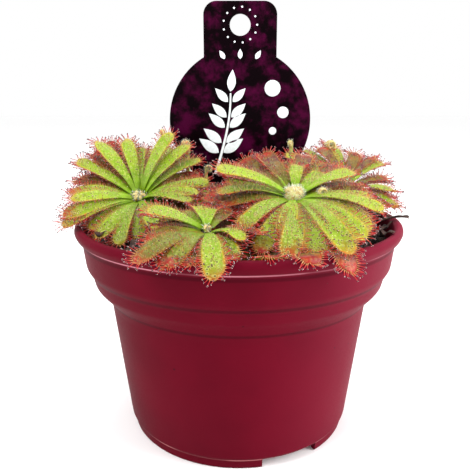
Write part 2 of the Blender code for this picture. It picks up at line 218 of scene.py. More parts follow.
# The rosettes. A crown is (x, y, z). A rosette leans towards an azimuth by an angle. "Hang" is how far
# the leaves towards the front hang down, as a share of their length, and "red_side" the azimuth of the
# reddest leaves. A leaf is (azimuth, length, rise from the rosette's disc): 0 is +X, 90 is +Y and -90
# is the front. "Old" old leaves of about "old_length" lie all round below them, and "low" are old
# leaves with places of their own.
ROSETTES = {
    "left": {
        "crown": (-27.0, -4.0, 64.5),
        "leans": (-92, 30),
        "width": 3.7,
        "hang": 0.06,
        "red_side": 172,
        "old": 19,
        "old_length": 16.5,
        "low": (
            (160, 18, 5), (149, 18, 1), (171, 17, 2), (138, 19, 12), (120, 20, 14), (104, 19, 11),
            (70, 18, 8),
        ),
        "leaves": (
            (-160, 16, 17), (-150, 18, 11), (-156, 20, 7), (-139, 20, 8), (-127, 15, 5), (-114, 17, 7),
            (-98, 17, 6), (-82, 14, 3), (-66, 14, 10), (-50, 13, 4), (-34, 15, 18), (-16, 15, 14),
            (-7, 16, 0), (3, 13, 5), (10, 17, 10), (25, 17, -3), (33, 18, 12), (54, 18, 5),
            (44, 18, 20), (69, 17, 13), (60, 18, 27), (85, 20, 2), (97, 15, 16), (110, 17, 21),
            (106, 20, -3), (127, 17, 9), (133, 19, 21), (147, 17, 8), (155, 19, 14), (165, 16, -3),
            (176, 17, 8), (186, 18, -7),
        ),
    },
    "right": {
        "crown": (13.6, -17.0, 67.0),
        "leans": (-88, 22),
        "width": 4.5,
        "hang": 0.12,
        "red_side": 225,
        "old": 14,
        "old_length": 18.5,
        "low": (
            (-106, 34, -5), (-86, 35, -6), (-70, 33, -5), (-122, 27, -6), (-146, 22, -6), (-176, 20, 0),
        ),
        "leaves": (
            (176, 18, 20), (187, 17, 8), (167, 18, -3), (-163, 16, 4), (-172, 17, -8), (-136, 18, 5),
            (-150, 17, -7), (-124, 18, -6), (-111, 21, 2), (-97, 17, 8), (-94, 23, 6), (-80, 23, 4),
            (-72, 19, -2), (-66, 24, 7), (-56, 22, 8), (-48, 18, -3), (-40, 20, 6), (-29, 20, 9),
            (-14, 17, -2), (4, 17, 2), (20, 15, 12), (34, 16, -5), (50, 10, 10), (64, 18, 1),
            (84, 9, 16), (93, 19, -3), (113, 15, 8), (134, 17, -1), (156, 16, 2),
        ),
    },
    "front": {
        "crown": (-7.2, -33.0, 62.5),
        "leans": (-100, 8),
        "width": 5.0,
        "hang": 0.3,
        "red_side": 200,
        "old": 4,
        "old_length": 10.5,
        "low": ((-128, 14, -4), (-70, 13, -6)),
        "leaves": (
            (150, 14, 4), (172, 12, 15), (200, 12, 2), (-141, 17, 2), (-117, 13, 1), (-99, 13, -6),
            (-80, 15.5, 2), (-56, 10, -4), (-30, 8, 4), (82, 6, 14), (106, 8, 12), (126, 11, 2),
        ),
    },
    "middle": {
        "crown": (1.5, 9.0, 62.0),
        "leans": (180, 6),
        "width": 3.8,
        "hang": 0.0,
        "red_side": 180,
        "old": 6,
        "old_length": 12.0,
        "low": (),
        "leaves": (
            (176, 15, 8), (-156, 14, 2), (-128, 12, 4), (150, 16, 10), (122, 15, 4), (94, 14, 10),
            (64, 13, 2), (32, 10, 8), (-84, 10, 0),
        ),
    },
    "right_back": {
        "crown": (31.0, 8.0, 65.5),
        "leans": (-80, 14),
        "width": 4.0,
        "hang": 0.04,
        "red_side": 30,
        "old": 11,
        "old_length": 14.0,
        "low": ((52, 15, 16), (110, 14, 24), (75, 14, 20), (20, 15, 6)),
        "leaves": (
            (46, 16, 12), (25, 14, 0), (-20, 14, 7), (-38, 15, -2), (-8, 13, -12), (9, 12, -10),
            (-62, 11, 3), (-105, 9, 0), (164, 17, 20), (128, 17, 16), (114, 15, 6), (98, 19, 16),
            (82, 14, 7), (66, 23, -5), (84, 25, -9), (105, 24, -9), (140, 16, -9), (184, 12, -3),
        ),
    },
    "left_back": {
        "crown": (-9.0, 34.6, 61.0),
        "leans": (90, 8),
        "width": 3.8,
        "hang": 0.0,
        "red_side": 90,
        "old": 6,
        "old_length": 15.0,
        "low": (),
        "leaves": (
            (-8, 17, 6), (11, 20, 0), (33, 16, 1), (58, 13, 4), (84, 13, 0), (108, 13, 6),
            (132, 14, 0), (155, 17, 4), (172, 20, 0), (188, 18, 8),
        ),
    },
}

# Young leaves round each crown: their number, the radius of their ring, the radius of a curl, its height
# and the radius of the heart between them.
CROWNS = {
    "left": (6, 1.5, 0.62, 1.5, 0.9),
    "right": (8, 1.9, 0.9, 1.7, 2.5),
    "front": (3, 0.7, 0.4, 0.8, 0.5),
    "middle": (5, 1.2, 0.6, 1.4, 0.9),
    "right_back": (6, 1.4, 0.7, 1.6, 1.2),
    "left_back": (6, 1.4, 0.7, 1.6, 1.0),
}

# Young leaves still curled at their ends: place of the curl, azimuth, its radius and the stalk's height.
CURLED_TIPS = (
    ((-31.0, -1.0, 67.9), 110, 1.3, 4.0),
    ((14.7, 6.0, 79.0), 60, 0.75, 5.0),
    ((28.5, 20.0, 77.4), 20, 1.3, 6.0),
    ((5.3, 0.0, 75.4), 130, 0.9, 4.0),
    ((-8.4, 4.0, 72.0), 160, 0.9, 5.0),
    ((20.3, -19.5, 69.2), 20, 0.95, 4.5),
    ((32.7, 0.0, 65.0), 70, 0.8, 4.0),
    ((-22.4, 12.0, 81.6), 80, 0.9, 8.0),
    ((-15.4, 8.0, 78.4), 60, 1.2, 8.0),
    ((-7.0, 33.0, 64.0), 90, 0.8, 2.5),
    ((30.0, 15.0, 69.0), 60, 0.8, 5.0),
)

# Withered leaves: root x and y, azimuth, length and rise. They start a little above the peat.
WITHERED = (
    (36.0, -3.5, -12, 9.5, 14), (35.0, -14.0, 60, 8, 2), (37.0, -9.0, 250, 8, 4), (37.0, 4.0, 100, 8, 0),
    (36.0, -8.0, 70, 6, 22), (36.5, -12.0, 110, 5, 14), (36.0, -6.0, 120, 6, 30), (36.0, -14.0, -75, 6, 6),
    (34.5, -10.0, -70, 8, 4), (36.0, -3.0, -100, 6, 12), (33.0, -19.0, 120, 9, 0), (31.0, -24.0, 200, 8, 0),
    (-33.0, -12.0, 260, 7, 4), (-26.0, -22.0, 290, 8, 2), (4.0, -33.0, -20, 7, 2), (18.0, -29.0, -50, 8, 0),
    (-16.0, -30.0, 190, 6, 0), (6.0, 30.0, 50, 11, 4), (24.0, 26.0, 20, 10, 6), (-30.0, 18.0, 150, 10, 4),
    (-20.0, 26.0, 100, 10, 2), (34.0, 12.0, 60, 9, 3),
)
WITHERED_WIDTH = 1.9
WITHERED_ABOVE = 2.0

# Studio, in metres and watts. A lamp is (place, size, power), and all of them aim at the same point.
LAMPS = {
    "key": ((-0.35, -0.3, 0.55), 0.3, 2.6),
    "side": ((0.5, -0.15, 0.25), 0.35, 3.3),
    "top": ((0.05, 0.25, 0.6), 0.3, 1.0),
}
AIM = (0, 0, 0.05)
FLOOR_HALF_MM = 3000


def screen(red, green, blue):
    """A colour as a picture shows it, 0 to 255, as linear red, green and blue."""
    return tuple(
        c / 12.92 if c <= 0.04045 else ((c + 0.055) / 1.055) ** 2.4
        for c in (red / 255, green / 255, blue / 255)
    )


# Settings that the panel shows.


def colour_setting(name, description, *rgb):
    return FloatVectorProperty(
        name=name, description=description, subtype="COLOR", default=screen(*rgb), min=0, max=1
    )


def length_setting(name, description, millimetres):
    return FloatProperty(
        name=name, description=description, default=millimetres * MM, min=0, unit="LENGTH", precision=5
    )


def share_setting(name, description, share):
    return FloatProperty(
        name=name, description=description, default=share, min=0, soft_max=2, subtype="FACTOR"
    )


class PotSettings(bpy.types.PropertyGroup):
    colour: colour_setting("Colour", "The pot's plastic", 89, 5, 24)
    corner: length_setting("Corner", "How far each corner of the profile is rounded", 0.5)
    steps: IntProperty(name="Steps", description="Steps round the pot", default=144, min=24)


class PeatSettings(bpy.types.PropertyGroup):
    colour: colour_setting("Colour", "Damp peat", 46, 33, 26)
    light: colour_setting("Dry colour", "Dry crumbs and fibres", 104, 74, 50)
    grit: colour_setting("Grit", "White grains of grit", 226, 220, 208)
    crumb: length_setting("Crumb", "Radius of a middling crumb", 0.62)
    apart: length_setting("Apart", "Least distance between crumbs", 0.95)


class LabelSettings(bpy.types.PropertyGroup):
    dark: colour_setting("Dark", "The card's darkest patches", 8, 1, 4)
    plum: colour_setting("Plum", "The card's plum patches", 64, 3, 40)
    ink: colour_setting("Print", "The printed pattern", 240, 246, 248)
    edge: length_setting("Edge", "Radius of the card's rounded edge", 0.12)


class LeafSettings(bpy.types.PropertyGroup):
    stalk: colour_setting("Stalk", "The narrow part near the crown", 132, 170, 20)
    blade: colour_setting("Blade", "The middle of the blade", 154, 172, 40)
    # Painted shade: the colour that lower leaves lean to, as if shaded by the upper ones.
    shade: colour_setting("Shade", "What the darker leaves lean to", 84, 112, 22)
    rim: colour_setting("Rim", "The margin of an old leaf", 206, 92, 22)
    young_rim: colour_setting("Young rim", "The margin of a young leaf", 206, 174, 56)
    old: colour_setting("Old", "Old leaves", 92, 18, 26)
    end: colour_setting("End", "The end of a leaf, redder with age", 160, 28, 16)
    pore: colour_setting("Pore", "The dark dots on the upper face", 52, 26, 12)
    # Painted highlight: a pale ring round each dark dot, standing in for the glint on its drop.
    pore_glint: colour_setting("Pore ring", "The pale ring round each dot", 206, 212, 118)
    thickness: length_setting("Thickness", "The blade's thickness along its middle", 0.5)
    longer: share_setting("Longer", "A blade's length against the solid's, whose long teeth end it", 1.06)
    wider: share_setting("Wider", "A blade's width against the solid's", 1.08)


class TentacleSettings(bpy.types.PropertyGroup):
    base: colour_setting("Base", "The foot of a tentacle", 206, 196, 116)
    red: colour_setting("Red", "The end of a red tentacle", 190, 20, 18)
    gland: colour_setting("Gland", "The gland under the drop", 86, 4, 22)
    rim_length: length_setting("Rim length", "Length at the margin", 1.6)
    rim_apart: length_setting("Rim spacing", "Distance between tentacles at the margin", 0.46)
    face_length: length_setting("Face length", "Length on the blade's face", 0.95)
    face_apart: length_setting("Face spacing", "Least distance between tentacles on the face", 0.68)
    stalk: length_setting("Stalk", "Radius of a margin tentacle's foot", 0.105)
    gland_r: length_setting("Gland size", "Radius of a margin tentacle's gland", 0.14)
    drop: length_setting("Drop", "Radius of a margin tentacle's drop of glue", 0.17)
    seed: IntProperty(name="Seed", description="Seed of the random draws", default=3)


class CrownSettings(bpy.types.PropertyGroup):
    bud: colour_setting("Bud", "The curled young leaves", 206, 196, 128)
    stem: colour_setting("Stem", "The stem and the old leaf bases", 70, 46, 28)
    hair: length_setting("Hair length", "Length of the fuzz on the young leaves", 1.1)
    hair_apart: length_setting("Hair spacing", "Least distance between the hairs", 0.24)


class StageSettings(bpy.types.PropertyGroup):
    floor: colour_setting("Floor", "The floor and the background", 254, 254, 254)
    camera: FloatVectorProperty(
        name="Camera", description="Where the camera is", default=(-0.001, -0.1527, 0.0913),
        unit="LENGTH", precision=4,
    )
    pitch: FloatProperty(
        name="Pitch", description="How far the camera looks down", default=math.radians(13.86),
        subtype="ANGLE",
    )
    lens: FloatProperty(name="Lens", description="Focal length in millimetres", default=42.2, unit="CAMERA")


# Small helpers.


def new_object(name, mesh):
    made = bpy.data.objects.new(name, mesh)
    bpy.context.scene.collection.objects.link(made)
    return made


def smooth(mesh, sharp_from=40.0):
    mesh.shade_smooth()
    mesh.set_sharp_from_angle(angle=math.radians(sharp_from))


def object_from(shape, name, *finishes, sharp_from=40.0):
    """A new object holding the bmesh `shape`, which is in millimetres."""
    bmesh.ops.recalc_face_normals(shape, faces=shape.faces)
    shape.transform(Matrix.Scale(MM, 4))
    mesh = bpy.data.meshes.new(name)
    shape.to_mesh(mesh)
    shape.free()
    smooth(mesh, sharp_from)
    for finish in finishes:
        mesh.materials.append(finish)
    return new_object(name, mesh)


def evaluated_mesh(source, name):
    """What an object's modifiers make of it, as a plain mesh."""
    graph = bpy.context.evaluated_depsgraph_get()
    mesh = bpy.data.meshes.new_from_object(source.evaluated_get(graph))
    mesh.name = name
    return mesh


def baked(source, name):
    """A plain object in place of one with modifiers, which is removed."""
    mesh = evaluated_mesh(source, name)
    bpy.data.objects.remove(source, do_unlink=True)
    return new_object(name, mesh)


def hand_over(piece, slot=None, *nodes):
    """Let a finished piece ride on the root body, and hide the nodes it stands for. The slot is not used.
    """
    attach(piece, "root")
    if nodes:
        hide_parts(*nodes)


def polar(radius, degrees):
    angle = math.radians(degrees)
    return radius * math.cos(angle), radius * math.sin(angle)


def about_z(degrees):
    return Matrix.Rotation(math.radians(degrees), 4, "Z")


def arc(centre, radius, start, end, steps):
    """Points of an arc from start to end degrees, both included."""
    return [
        (centre[0] + x, centre[1] + y)
        for x, y in (polar(radius, start + (end - start) * i / steps) for i in range(steps + 1))
    ]


def circle(x, y, radius, sides=36):
    return arc((x, y), radius, 0, 360 * (sides - 1) / sides, sides - 1)


def clamped(value, high=1.0):
    return min(high, max(0.0, value))


def eased(low, high, value):
    """0 below low, 1 above high, and a smooth step between."""
    s = clamped((value - low) / (high - low))
    return s * s * (3 - 2 * s)


def chain(shape, points):
    """Edges from point to point in a bmesh."""
    verts = [shape.verts.new(point) for point in points]
    for first, second in zip(verts, verts[1:]):
        shape.edges.new((first, second))


def skin(shape, loops, material=0):
    """Faces between closed loops of vertices, each joined to the next, and over both ends."""
    sides = len(loops[0])
    for low, high in zip(loops, loops[1:]):
        for i in range(sides):
            after = (i + 1) % sides
            shape.faces.new((low[i], low[after], high[after], high[i])).material_index = material
    for end in (loops[0], loops[-1]):
        shape.faces.new(end).material_index = material


# Node trees.


class Field:
    """An output of a node. Sums and products of fields add their own nodes to the tree."""

    def __init__(self, tree, socket):
        self.tree = tree
        self.socket = socket

    def maths(self, operation, *others, clamp=False):
        inputs = dict(zip(("Value", "Value_001"), (self, *others)))
        return node(self.tree, "ShaderNodeMath", "Value", inputs, operation=operation, use_clamp=clamp)

    def __add__(self, other):
        return self.maths("ADD", other)

    def __sub__(self, other):
        return self.maths("SUBTRACT", other)

    def __mul__(self, other):
        return self.maths("MULTIPLY", other)

    def above(self, limit):
        """1 where the field is above the limit, and 0 elsewhere."""
        return self.maths("GREATER_THAN", limit)

    def mapped(self, low, high, to_low=0.0, to_high=1.0, ease="SMOOTHSTEP"):
        """The range from low to high mapped to another, and held at its ends."""
        inputs = {"Value": self, "From Min": low, "From Max": high, "To Min": to_low, "To Max": to_high}
        return node(self.tree, "ShaderNodeMapRange", "Result", inputs, interpolation_type=ease)


def socket_of(sockets, key):
    """The socket in use with that name or identifier."""
    return next(s for s in sockets if s.enabled and key in (s.name, s.identifier))


def feed(socket, value):
    """Link a field to a socket, or set its plain value. A colour may have three numbers."""
    if isinstance(value, Field):
        value.tree.links.new(value.socket, socket)
    elif socket.type == "RGBA" and len(value) == 3:
        socket.default_value = (*value, 1.0)
    else:
        socket.default_value = value


def add(tree, kind, inputs=None, **options):
    """A new node, its options set and its inputs fed."""
    made = tree.nodes.new(kind)
    for name, value in options.items():
        setattr(made, name, value)
    for key, value in (inputs or {}).items():
        feed(socket_of(made.inputs, key), value)
    return made


def node(tree, kind, output, inputs=None, **options):
    """One output of a new node, as a field."""
    return Field(tree, socket_of(add(tree, kind, inputs, **options).outputs, output))


def vector_maths(operation, first, second):
    key = "Scale" if operation == "SCALE" else "Vector_001"
    inputs = {"Vector": first, key: second}
    return node(first.tree, "ShaderNodeVectorMath", "Vector", inputs, operation=operation)


def mixed(factor, first, second):
    """Two colours mixed by a field. Each is a field or three numbers."""
    inputs = {"Factor_Float": factor, "A_Color": first, "B_Color": second}
    return node(factor.tree, "ShaderNodeMix", "Result_Color", inputs, data_type="RGBA")


def object_place(tree):
    return node(tree, "ShaderNodeTexCoord", "Object")


def noise_of(tree, size, detail=2.0, roughness=0.5):
    """Noise whose waves are `size` millimetres long."""
    inputs = {
        "Vector": object_place(tree), "Scale": 1 / (size * MM), "Detail": detail, "Roughness": roughness
    }
    return node(tree, "ShaderNodeTexNoise", "Fac", inputs)


def cells_of(tree, size, randomness=1.0):
    """Cells about `size` millimetres apart: the distance to a cell's centre, and its random colour."""
    inputs = {"Vector": object_place(tree), "Scale": 1 / (size * MM), "Randomness": randomness}
    outputs = add(tree, "ShaderNodeTexVoronoi", inputs).outputs
    return Field(tree, outputs["Distance"]), Field(tree, outputs["Color"])


def attribute(tree, name):
    """A mesh's attribute in a material."""
    return node(tree, "ShaderNodeAttribute", "Fac", attribute_name=name)


def shaded(colour, share):
    return tuple(share * c for c in colour)


def new_finish(name):
    """A material with only a Principled shader, and its tree."""
    finish = bpy.data.materials.new(name)
    finish.use_nodes = True
    return finish, finish.node_tree


def dressed(finish, bump=None, **values):
    """The finish with its shader's inputs fed. An underscore stands for a space in an input's name.

    A bump is (height from 0 to 1, depth in millimetres, strength).
    """
    tree = finish.node_tree
    if bump:
        inputs = {"Height": bump[0], "Distance": bump[1] * MM, "Strength": bump[2]}
        values["Normal"] = node(tree, "ShaderNodeBump", "Normal", inputs)
    for name, value in values.items():
        feed(tree.nodes["Principled BSDF"].inputs[name.replace("_", " ")], value)
    return finish


# Finishes. Sizes of patterns are in millimetres, and a mapped noise goes from one share to another.


def pot_plastic(settings):
    """Satin burgundy plastic with a faint flow pattern and specks of peat, with painted highlight lines
    under the rim and at the foot, painted light on the rim's top and the right side, and painted shade in
    the creases.
    """
    finish, tree = new_finish("pot plastic")
    rim_highlight_colour, foot_highlight_colour, painted_light_colour = screen(206, 132, 146), screen(206, 132, 132), screen(168, 52, 80)
    flow = noise_of(tree, 24, detail=3.0).mapped(0.3, 0.7)
    body = mixed(flow, shaded(settings.colour, 0.9), shaded(settings.colour, 1.1))
    distance, cell = cells_of(tree, 5.0)
    specks = distance.mapped(0.035, 0.075, 1.0, 0.0) * cell.above(0.66)
    body = mixed(specks, body, screen(52, 12, 20))
    place = object_place(tree)
    x, y, z = (Field(tree, out) for out in add(tree, "ShaderNodeSeparateXYZ", {"Vector": place}).outputs)
    flat = node(tree, "ShaderNodeCombineXYZ", "Vector", {"X": x, "Y": y})
    radius = node(tree, "ShaderNodeVectorMath", "Value", {"Vector": flat}, operation="LENGTH")

    def line_at(height, half):
        away = (z - height * MM).maths("ABSOLUTE")
        return away.mapped(0.3 * half * MM, half * MM, 1.0, 0.0)

    # Painted highlights: pale lines under the rim and at the foot, broken by noise and fading towards the
    # right.
    highlight_mask = noise_of(tree, 16).mapped(0.4, 0.55, 0.15, 0.9) * x.mapped(-20 * MM, 20 * MM, 1.0, 0.45)
    # Painted highlight: the pale line under the lip.
    body = mixed(line_at(*RIM_HIGHLIGHT) * radius.above(RIM_HIGHLIGHT_R * MM) * highlight_mask, body, rim_highlight_colour)
    # Painted light: the rim's top and the pot's right side are lighter, as if lit from above and from the
    # right.
    wear_and_light = z.mapped(57 * MM, 59.5 * MM, 0.0, 0.36) * x.mapped(0.0, 40 * MM, 0.15, 1.0)
    fading_and_light = x.mapped(0.0, 46 * MM, 0.0, 0.2)
    body = mixed(wear_and_light.maths("MAXIMUM", fading_and_light), body, painted_light_colour)
    # Painted highlight: the pale line on the foot's top edge.
    body = mixed(line_at(*FOOT_HIGHLIGHT) * highlight_mask, body, foot_highlight_colour)
    # Painted shade: a dark line in each crease of the wall.
    for height in CREASE_SHADES_Z:
        body = mixed(line_at(height, CREASE_SHADE_HALF) * 0.5, body, screen(48, 2, 12))
    fine = noise_of(tree, 0.5, detail=3.0)
    rough = fine.mapped(0.2, 0.8, 0.4, 0.5) + noise_of(tree, 9, detail=4.0) * 0.1
    return dressed(
        finish, (fine, 0.02, 0.5), Base_Color=body, Roughness=rough, IOR=1.48, Specular_IOR_Level=0.03
    )


def peat_finish(settings, name, grain):
    """Damp peat: near black, with brown crumbs. Grain sizes its patterns."""
    finish, tree = new_finish(name)
    crumbs = noise_of(tree, 1.6 * grain, detail=5.0, roughness=0.7).mapped(0.35, 0.65)
    body = mixed(crumbs, shaded(settings.colour, 0.35), settings.colour)
    dry = noise_of(tree, 0.7 * grain, detail=3.0, roughness=0.7).mapped(0.62, 0.78, 0.0, 0.75)
    body = mixed(dry, body, settings.light)
    body = mixed(attribute(tree, "shade").mapped(0.7, 1.0, 0.0, 0.8), body, settings.light)
    rough = noise_of(tree, 1.1 * grain, detail=4.0).mapped(0.4, 0.7, 0.5, 0.98)
    relief = noise_of(tree, 0.5 * grain, detail=4.0, roughness=0.7)
    return dressed(finish, (relief, 0.2, 0.9), Base_Color=body, Roughness=rough)


def grit_finish(settings):
    """White grains among the peat."""
    finish, tree = new_finish("grit")
    stains = noise_of(tree, 0.6, detail=3.0).mapped(0.4, 0.7)
    body = mixed(stains, settings.grit, shaded(settings.grit, 0.5))
    return dressed(finish, Base_Color=body, Roughness=0.9)


def card_finish(settings):
    """Printed card, mottled in near black and plum."""
    finish, tree = new_finish("label card")
    large = noise_of(tree, 7.0, detail=4.0, roughness=0.6)
    small = noise_of(tree, 2.6, detail=3.0, roughness=0.7)
    patches = (large * 0.7 + small * 0.3).mapped(0.45, 0.66)
    return dressed(
        finish, (noise_of(tree, 1.2), 0.01, 0.3), Base_Color=mixed(patches, settings.dark, settings.plum),
        Roughness=small.mapped(0.2, 0.8, 0.3, 0.42), IOR=1.5, Specular_IOR_Level=0.03,
    )


def ink_finish(settings):
    """White print with a slightly uneven lay."""
    finish, tree = new_finish("label print")
    wear_and_light = noise_of(tree, 0.8, detail=4.0).mapped(0.35, 0.7)
    return dressed(finish, Base_Color=mixed(wear_and_light, shaded(settings.ink, 0.88), settings.ink), Roughness=0.4)


def leaf_finish(settings):
    """Moist leaf: lime stalk, yellow-green blade, a warm rim, dark dots with painted highlight rings round
    them, red ends on old leaves, and painted shade on the lower leaves.
    """
    finish, tree = new_finish("sundew leaf")
    reach, side, age, tone_and_shade, upper = (
        attribute(tree, name) for name in ("reach", "side", "age", "tone_and_shade", "upper")
    )
    patches = noise_of(tree, 2.2, detail=3.0)
    body = mixed(patches.mapped(0.35, 0.65, 0.0, 0.55), settings.stalk, shaded(settings.stalk, 0.45))
    blade = mixed(patches.mapped(0.3, 0.7), settings.blade, settings.stalk)
    body = mixed(reach.mapped(0.15, 0.6), body, blade)
    # Painted shade: leaves lean to the shade colour, partly at random and more so the lower they sink.
    body = mixed(tone_and_shade * 0.8, body, settings.shade)
    edge = side.mapped(0.7, 1.0, 0.0, 0.8) + reach.mapped(0.9, 1.0, 0.0, 0.6)
    uneven = noise_of(tree, 1.3, detail=3.0).mapped(0.3, 0.6, 0.35, 1.0)
    rim = (edge * uneven).maths("MULTIPLY", reach.mapped(0.3, 0.9), clamp=True)
    body = mixed(rim, body, mixed(age.mapped(0.1, 0.7), settings.young_rim, settings.rim))
    fading_and_light = age.mapped(0.72, 0.95) * reach.mapped(0.1, 0.5, 0.4, 1.0)
    body = mixed(fading_and_light * patches.mapped(0.35, 0.65, 1.0, 0.65), body, settings.old)
    ends = reach.mapped(0.72, 1.0) + patches.mapped(0.4, 0.7, -0.3, 0.3)
    redness = age.mapped(0.15, 0.9, 0.1, 1.0).maths("MULTIPLY", ends, clamp=True)
    body = mixed(redness, body, settings.end)
    distance, _ = cells_of(tree, 0.85, randomness=0.75)
    # Painted highlight: a pale ring round each dark dot, standing in for the glint on its drop, weaker on
    # old leaves.
    glint_halo = distance.mapped(0.3, 0.55, 1.0, 0.0) * upper * age.mapped(0.6, 1.0, 1.0, 0.25)
    body = mixed(glint_halo * 0.42, body, settings.pore_glint)
    pit = distance.mapped(0.15, 0.32, 1.0, 0.0) * upper
    body = mixed(pit * 0.85, body, settings.pore)
    fine = noise_of(tree, 0.35, detail=3.0)
    return dressed(
        finish, (fine * 0.4 + glint_halo * 0.6, 0.12, 0.8), Base_Color=body,
        Roughness=fine.mapped(0.3, 0.7, 0.3, 0.55), IOR=1.42, Specular_IOR_Level=0.35,
        Subsurface_Weight=0.2, Subsurface_Scale=0.5 * MM, Subsurface_Radius=(0.8, 1.0, 0.25),
    )


def stalk_finish(settings):
    """Tentacle stalks, from pale feet to red ends. They are redder at the rim and on old leaves."""
    finish, tree = new_finish("tentacle stalk")
    along = attribute(tree, "along").mapped(0.0, 0.7, 0.4, 1.3)
    share = along.maths("MULTIPLY", attribute(tree, "redness"), clamp=True)
    body = mixed(share, settings.base, settings.red)
    body = mixed(noise_of(tree, 1.5) * 0.25, body, settings.gland)
    return dressed(
        finish, Base_Color=body, Roughness=0.35, Subsurface_Weight=0.2, Subsurface_Scale=0.3 * MM
    )


def gland_finish(settings):
    """The dark red gland at the end of each tentacle, paler where the tentacle is green."""
    finish, tree = new_finish("tentacle gland")
    pale = tuple((base + red) / 2 for base, red in zip(settings.base, settings.red))
    redness = attribute(tree, "redness").mapped(0.0, 0.4, 0.55, 1.0)
    return dressed(finish, Base_Color=mixed(redness, pale, settings.gland), Roughness=0.25)


def glue_finish():
    """Clear drops of glue, with a faint pink tint that varies."""
    finish, tree = new_finish("glue drop")
    tint = mixed(noise_of(tree, 3.0), (1.0, 0.9, 0.88), (1.0, 0.72, 0.7))
    return dressed(finish, Base_Color=tint, Roughness=0.05, IOR=1.36, Transmission_Weight=0.92)


def bud_finish(settings):
    """Curled young leaves: cream, greener at the foot and browner in the folds."""
    finish, tree = new_finish("young leaf")
    folds = noise_of(tree, 0.9, detail=4.0).mapped(0.35, 0.7)
    body = mixed(folds, settings.bud, screen(186, 150, 78))
    body = mixed(attribute(tree, "reach").mapped(0.0, 0.45, 0.9, 0.0), body, screen(150, 176, 52))
    return dressed(
        finish, (noise_of(tree, 0.3, detail=3.0), 0.06, 0.7), Base_Color=body, Roughness=0.5,
        Subsurface_Weight=0.3, Subsurface_Scale=0.6 * MM,
    )


def withered_finish():
    """Dead leaves: dark brown and wrinkled."""
    finish, tree = new_finish("withered leaf")
    wrinkles = noise_of(tree, 1.4, detail=5.0, roughness=0.7)
    body = mixed(wrinkles.mapped(0.35, 0.65), screen(26, 12, 10), screen(74, 38, 24))
    return dressed(finish, (wrinkles, 0.3, 1.0), Base_Color=body, Roughness=0.75)


def hair_finish():
    """Pale hairs on the young leaves."""
    finish, tree = new_finish("young hair")
    body = mixed(noise_of(tree, 1.2), (0.72, 0.68, 0.5), (0.9, 0.88, 0.8))
    return dressed(
        finish, Base_Color=body, Roughness=0.45, Subsurface_Weight=0.2, Subsurface_Scale=0.3 * MM
    )


def stem_finish(settings):
    """The brown stem, wrapped in old leaf bases."""
    finish, tree = new_finish("old stem")
    bases = noise_of(tree, 0.8, detail=5.0, roughness=0.7)
    body = mixed(bases.mapped(0.35, 0.65), shaded(settings.stem, 0.3), settings.stem)
    return dressed(finish, (bases, 0.3, 0.9), Base_Color=body, Roughness=0.85)


# Geometry node trees.


def tree_with(name, sockets):
    """A Geometry Nodes tree with a Geometry input and output, and the named inputs as fields."""
    tree = bpy.data.node_groups.new(name, "GeometryNodeTree")
    tree.interface.new_socket("Geometry", in_out="INPUT", socket_type="NodeSocketGeometry")
    for label, kind in sockets.items():
        tree.interface.new_socket(label, in_out="INPUT", socket_type="NodeSocket" + kind)
    tree.interface.new_socket("Geometry", in_out="OUTPUT", socket_type="NodeSocketGeometry")
    outputs = tree.nodes.new("NodeGroupInput").outputs
    return tree, {out.name: Field(tree, out) for out in outputs if out.name}


def close_tree(geometry):
    """Realize what the tree made and send it out."""
    real = node(geometry.tree, "GeometryNodeRealizeInstances", "Geometry", {"Geometry": geometry})
    add(geometry.tree, "NodeGroupOutput", {"Geometry": real})


def grow(source, tree, values, name):
    """What a tree makes on a source object, as a new plain object. The source stays as it was."""
    modifier = source.modifiers.new(tree.name, "NODES")
    modifier.node_group = tree
    for item in tree.interface.items_tree:
        if item.in_out == "INPUT" and item.name in values:
            modifier[item.identifier] = values[item.name]
    mesh = evaluated_mesh(source, name)
    source.modifiers.remove(modifier)
    return new_object(name, mesh)


def random_value(tree, low, high, seed):
    """A random number for each point, or a random vector if its limits are vectors."""
    kind = "FLOAT_VECTOR" if isinstance(low, tuple) else "FLOAT"
    inputs = {"Min": low, "Max": high, "Seed": seed}
    return node(tree, "FunctionNodeRandomValue", "Value", inputs, data_type=kind)


def stray_from(direction, most, seed):
    """A direction with a random vector added, up to `most` along each axis."""
    stray = random_value(direction.tree, (-most, -most, -most), (most, most, most), seed)
    return vector_maths("ADD", direction, stray)


def named(tree, name, kind="FLOAT"):
    """A named attribute as a field."""
    return node(tree, "GeometryNodeInputNamedAttribute", "Attribute", {"Name": name}, data_type=kind)


def stored(geometry, name, value):
    inputs = {"Geometry": geometry, "Name": name, "Value": value}
    options = {"data_type": "FLOAT", "domain": "POINT"}
    return node(geometry.tree, "GeometryNodeStoreNamedAttribute", "Geometry", inputs, **options)


def strewn(given, apart, densest, chosen):
    """Points strewn on the tree's own mesh where `chosen` allows, and the normals there."""
    inputs = {
        "Mesh": given["Geometry"], "Distance Min": apart, "Density Max": densest,
        "Density Factor": chosen, "Seed": given["Seed"],
    }
    tree = chosen.tree
    outputs = add(
        tree, "GeometryNodeDistributePointsOnFaces", inputs, distribute_method="POISSON"
    ).outputs
    return Field(tree, outputs["Points"]), Field(tree, outputs["Normal"])


def primitive(tree, kind, **inputs):
    """A mesh primitive. An underscore stands for a space in an input's name."""
    inputs = {name.replace("_", " "): value for name, value in inputs.items()}
    return node(tree, "GeometryNodeMesh" + kind, "Mesh", inputs)


def resampled(curve, apart):
    """A curve with a point at every `apart`."""
    inputs = {"Curve": curve, "Length": apart}
    return node(curve.tree, "GeometryNodeResampleCurve", "Curve", inputs, mode="LENGTH")


def placed(points, instance, rotation, scale, **selection):
    inputs = {"Points": points, "Instance": instance, "Rotation": rotation, "Scale": scale, **selection}
    return node(points.tree, "GeometryNodeInstanceOnPoints", "Instances", inputs)


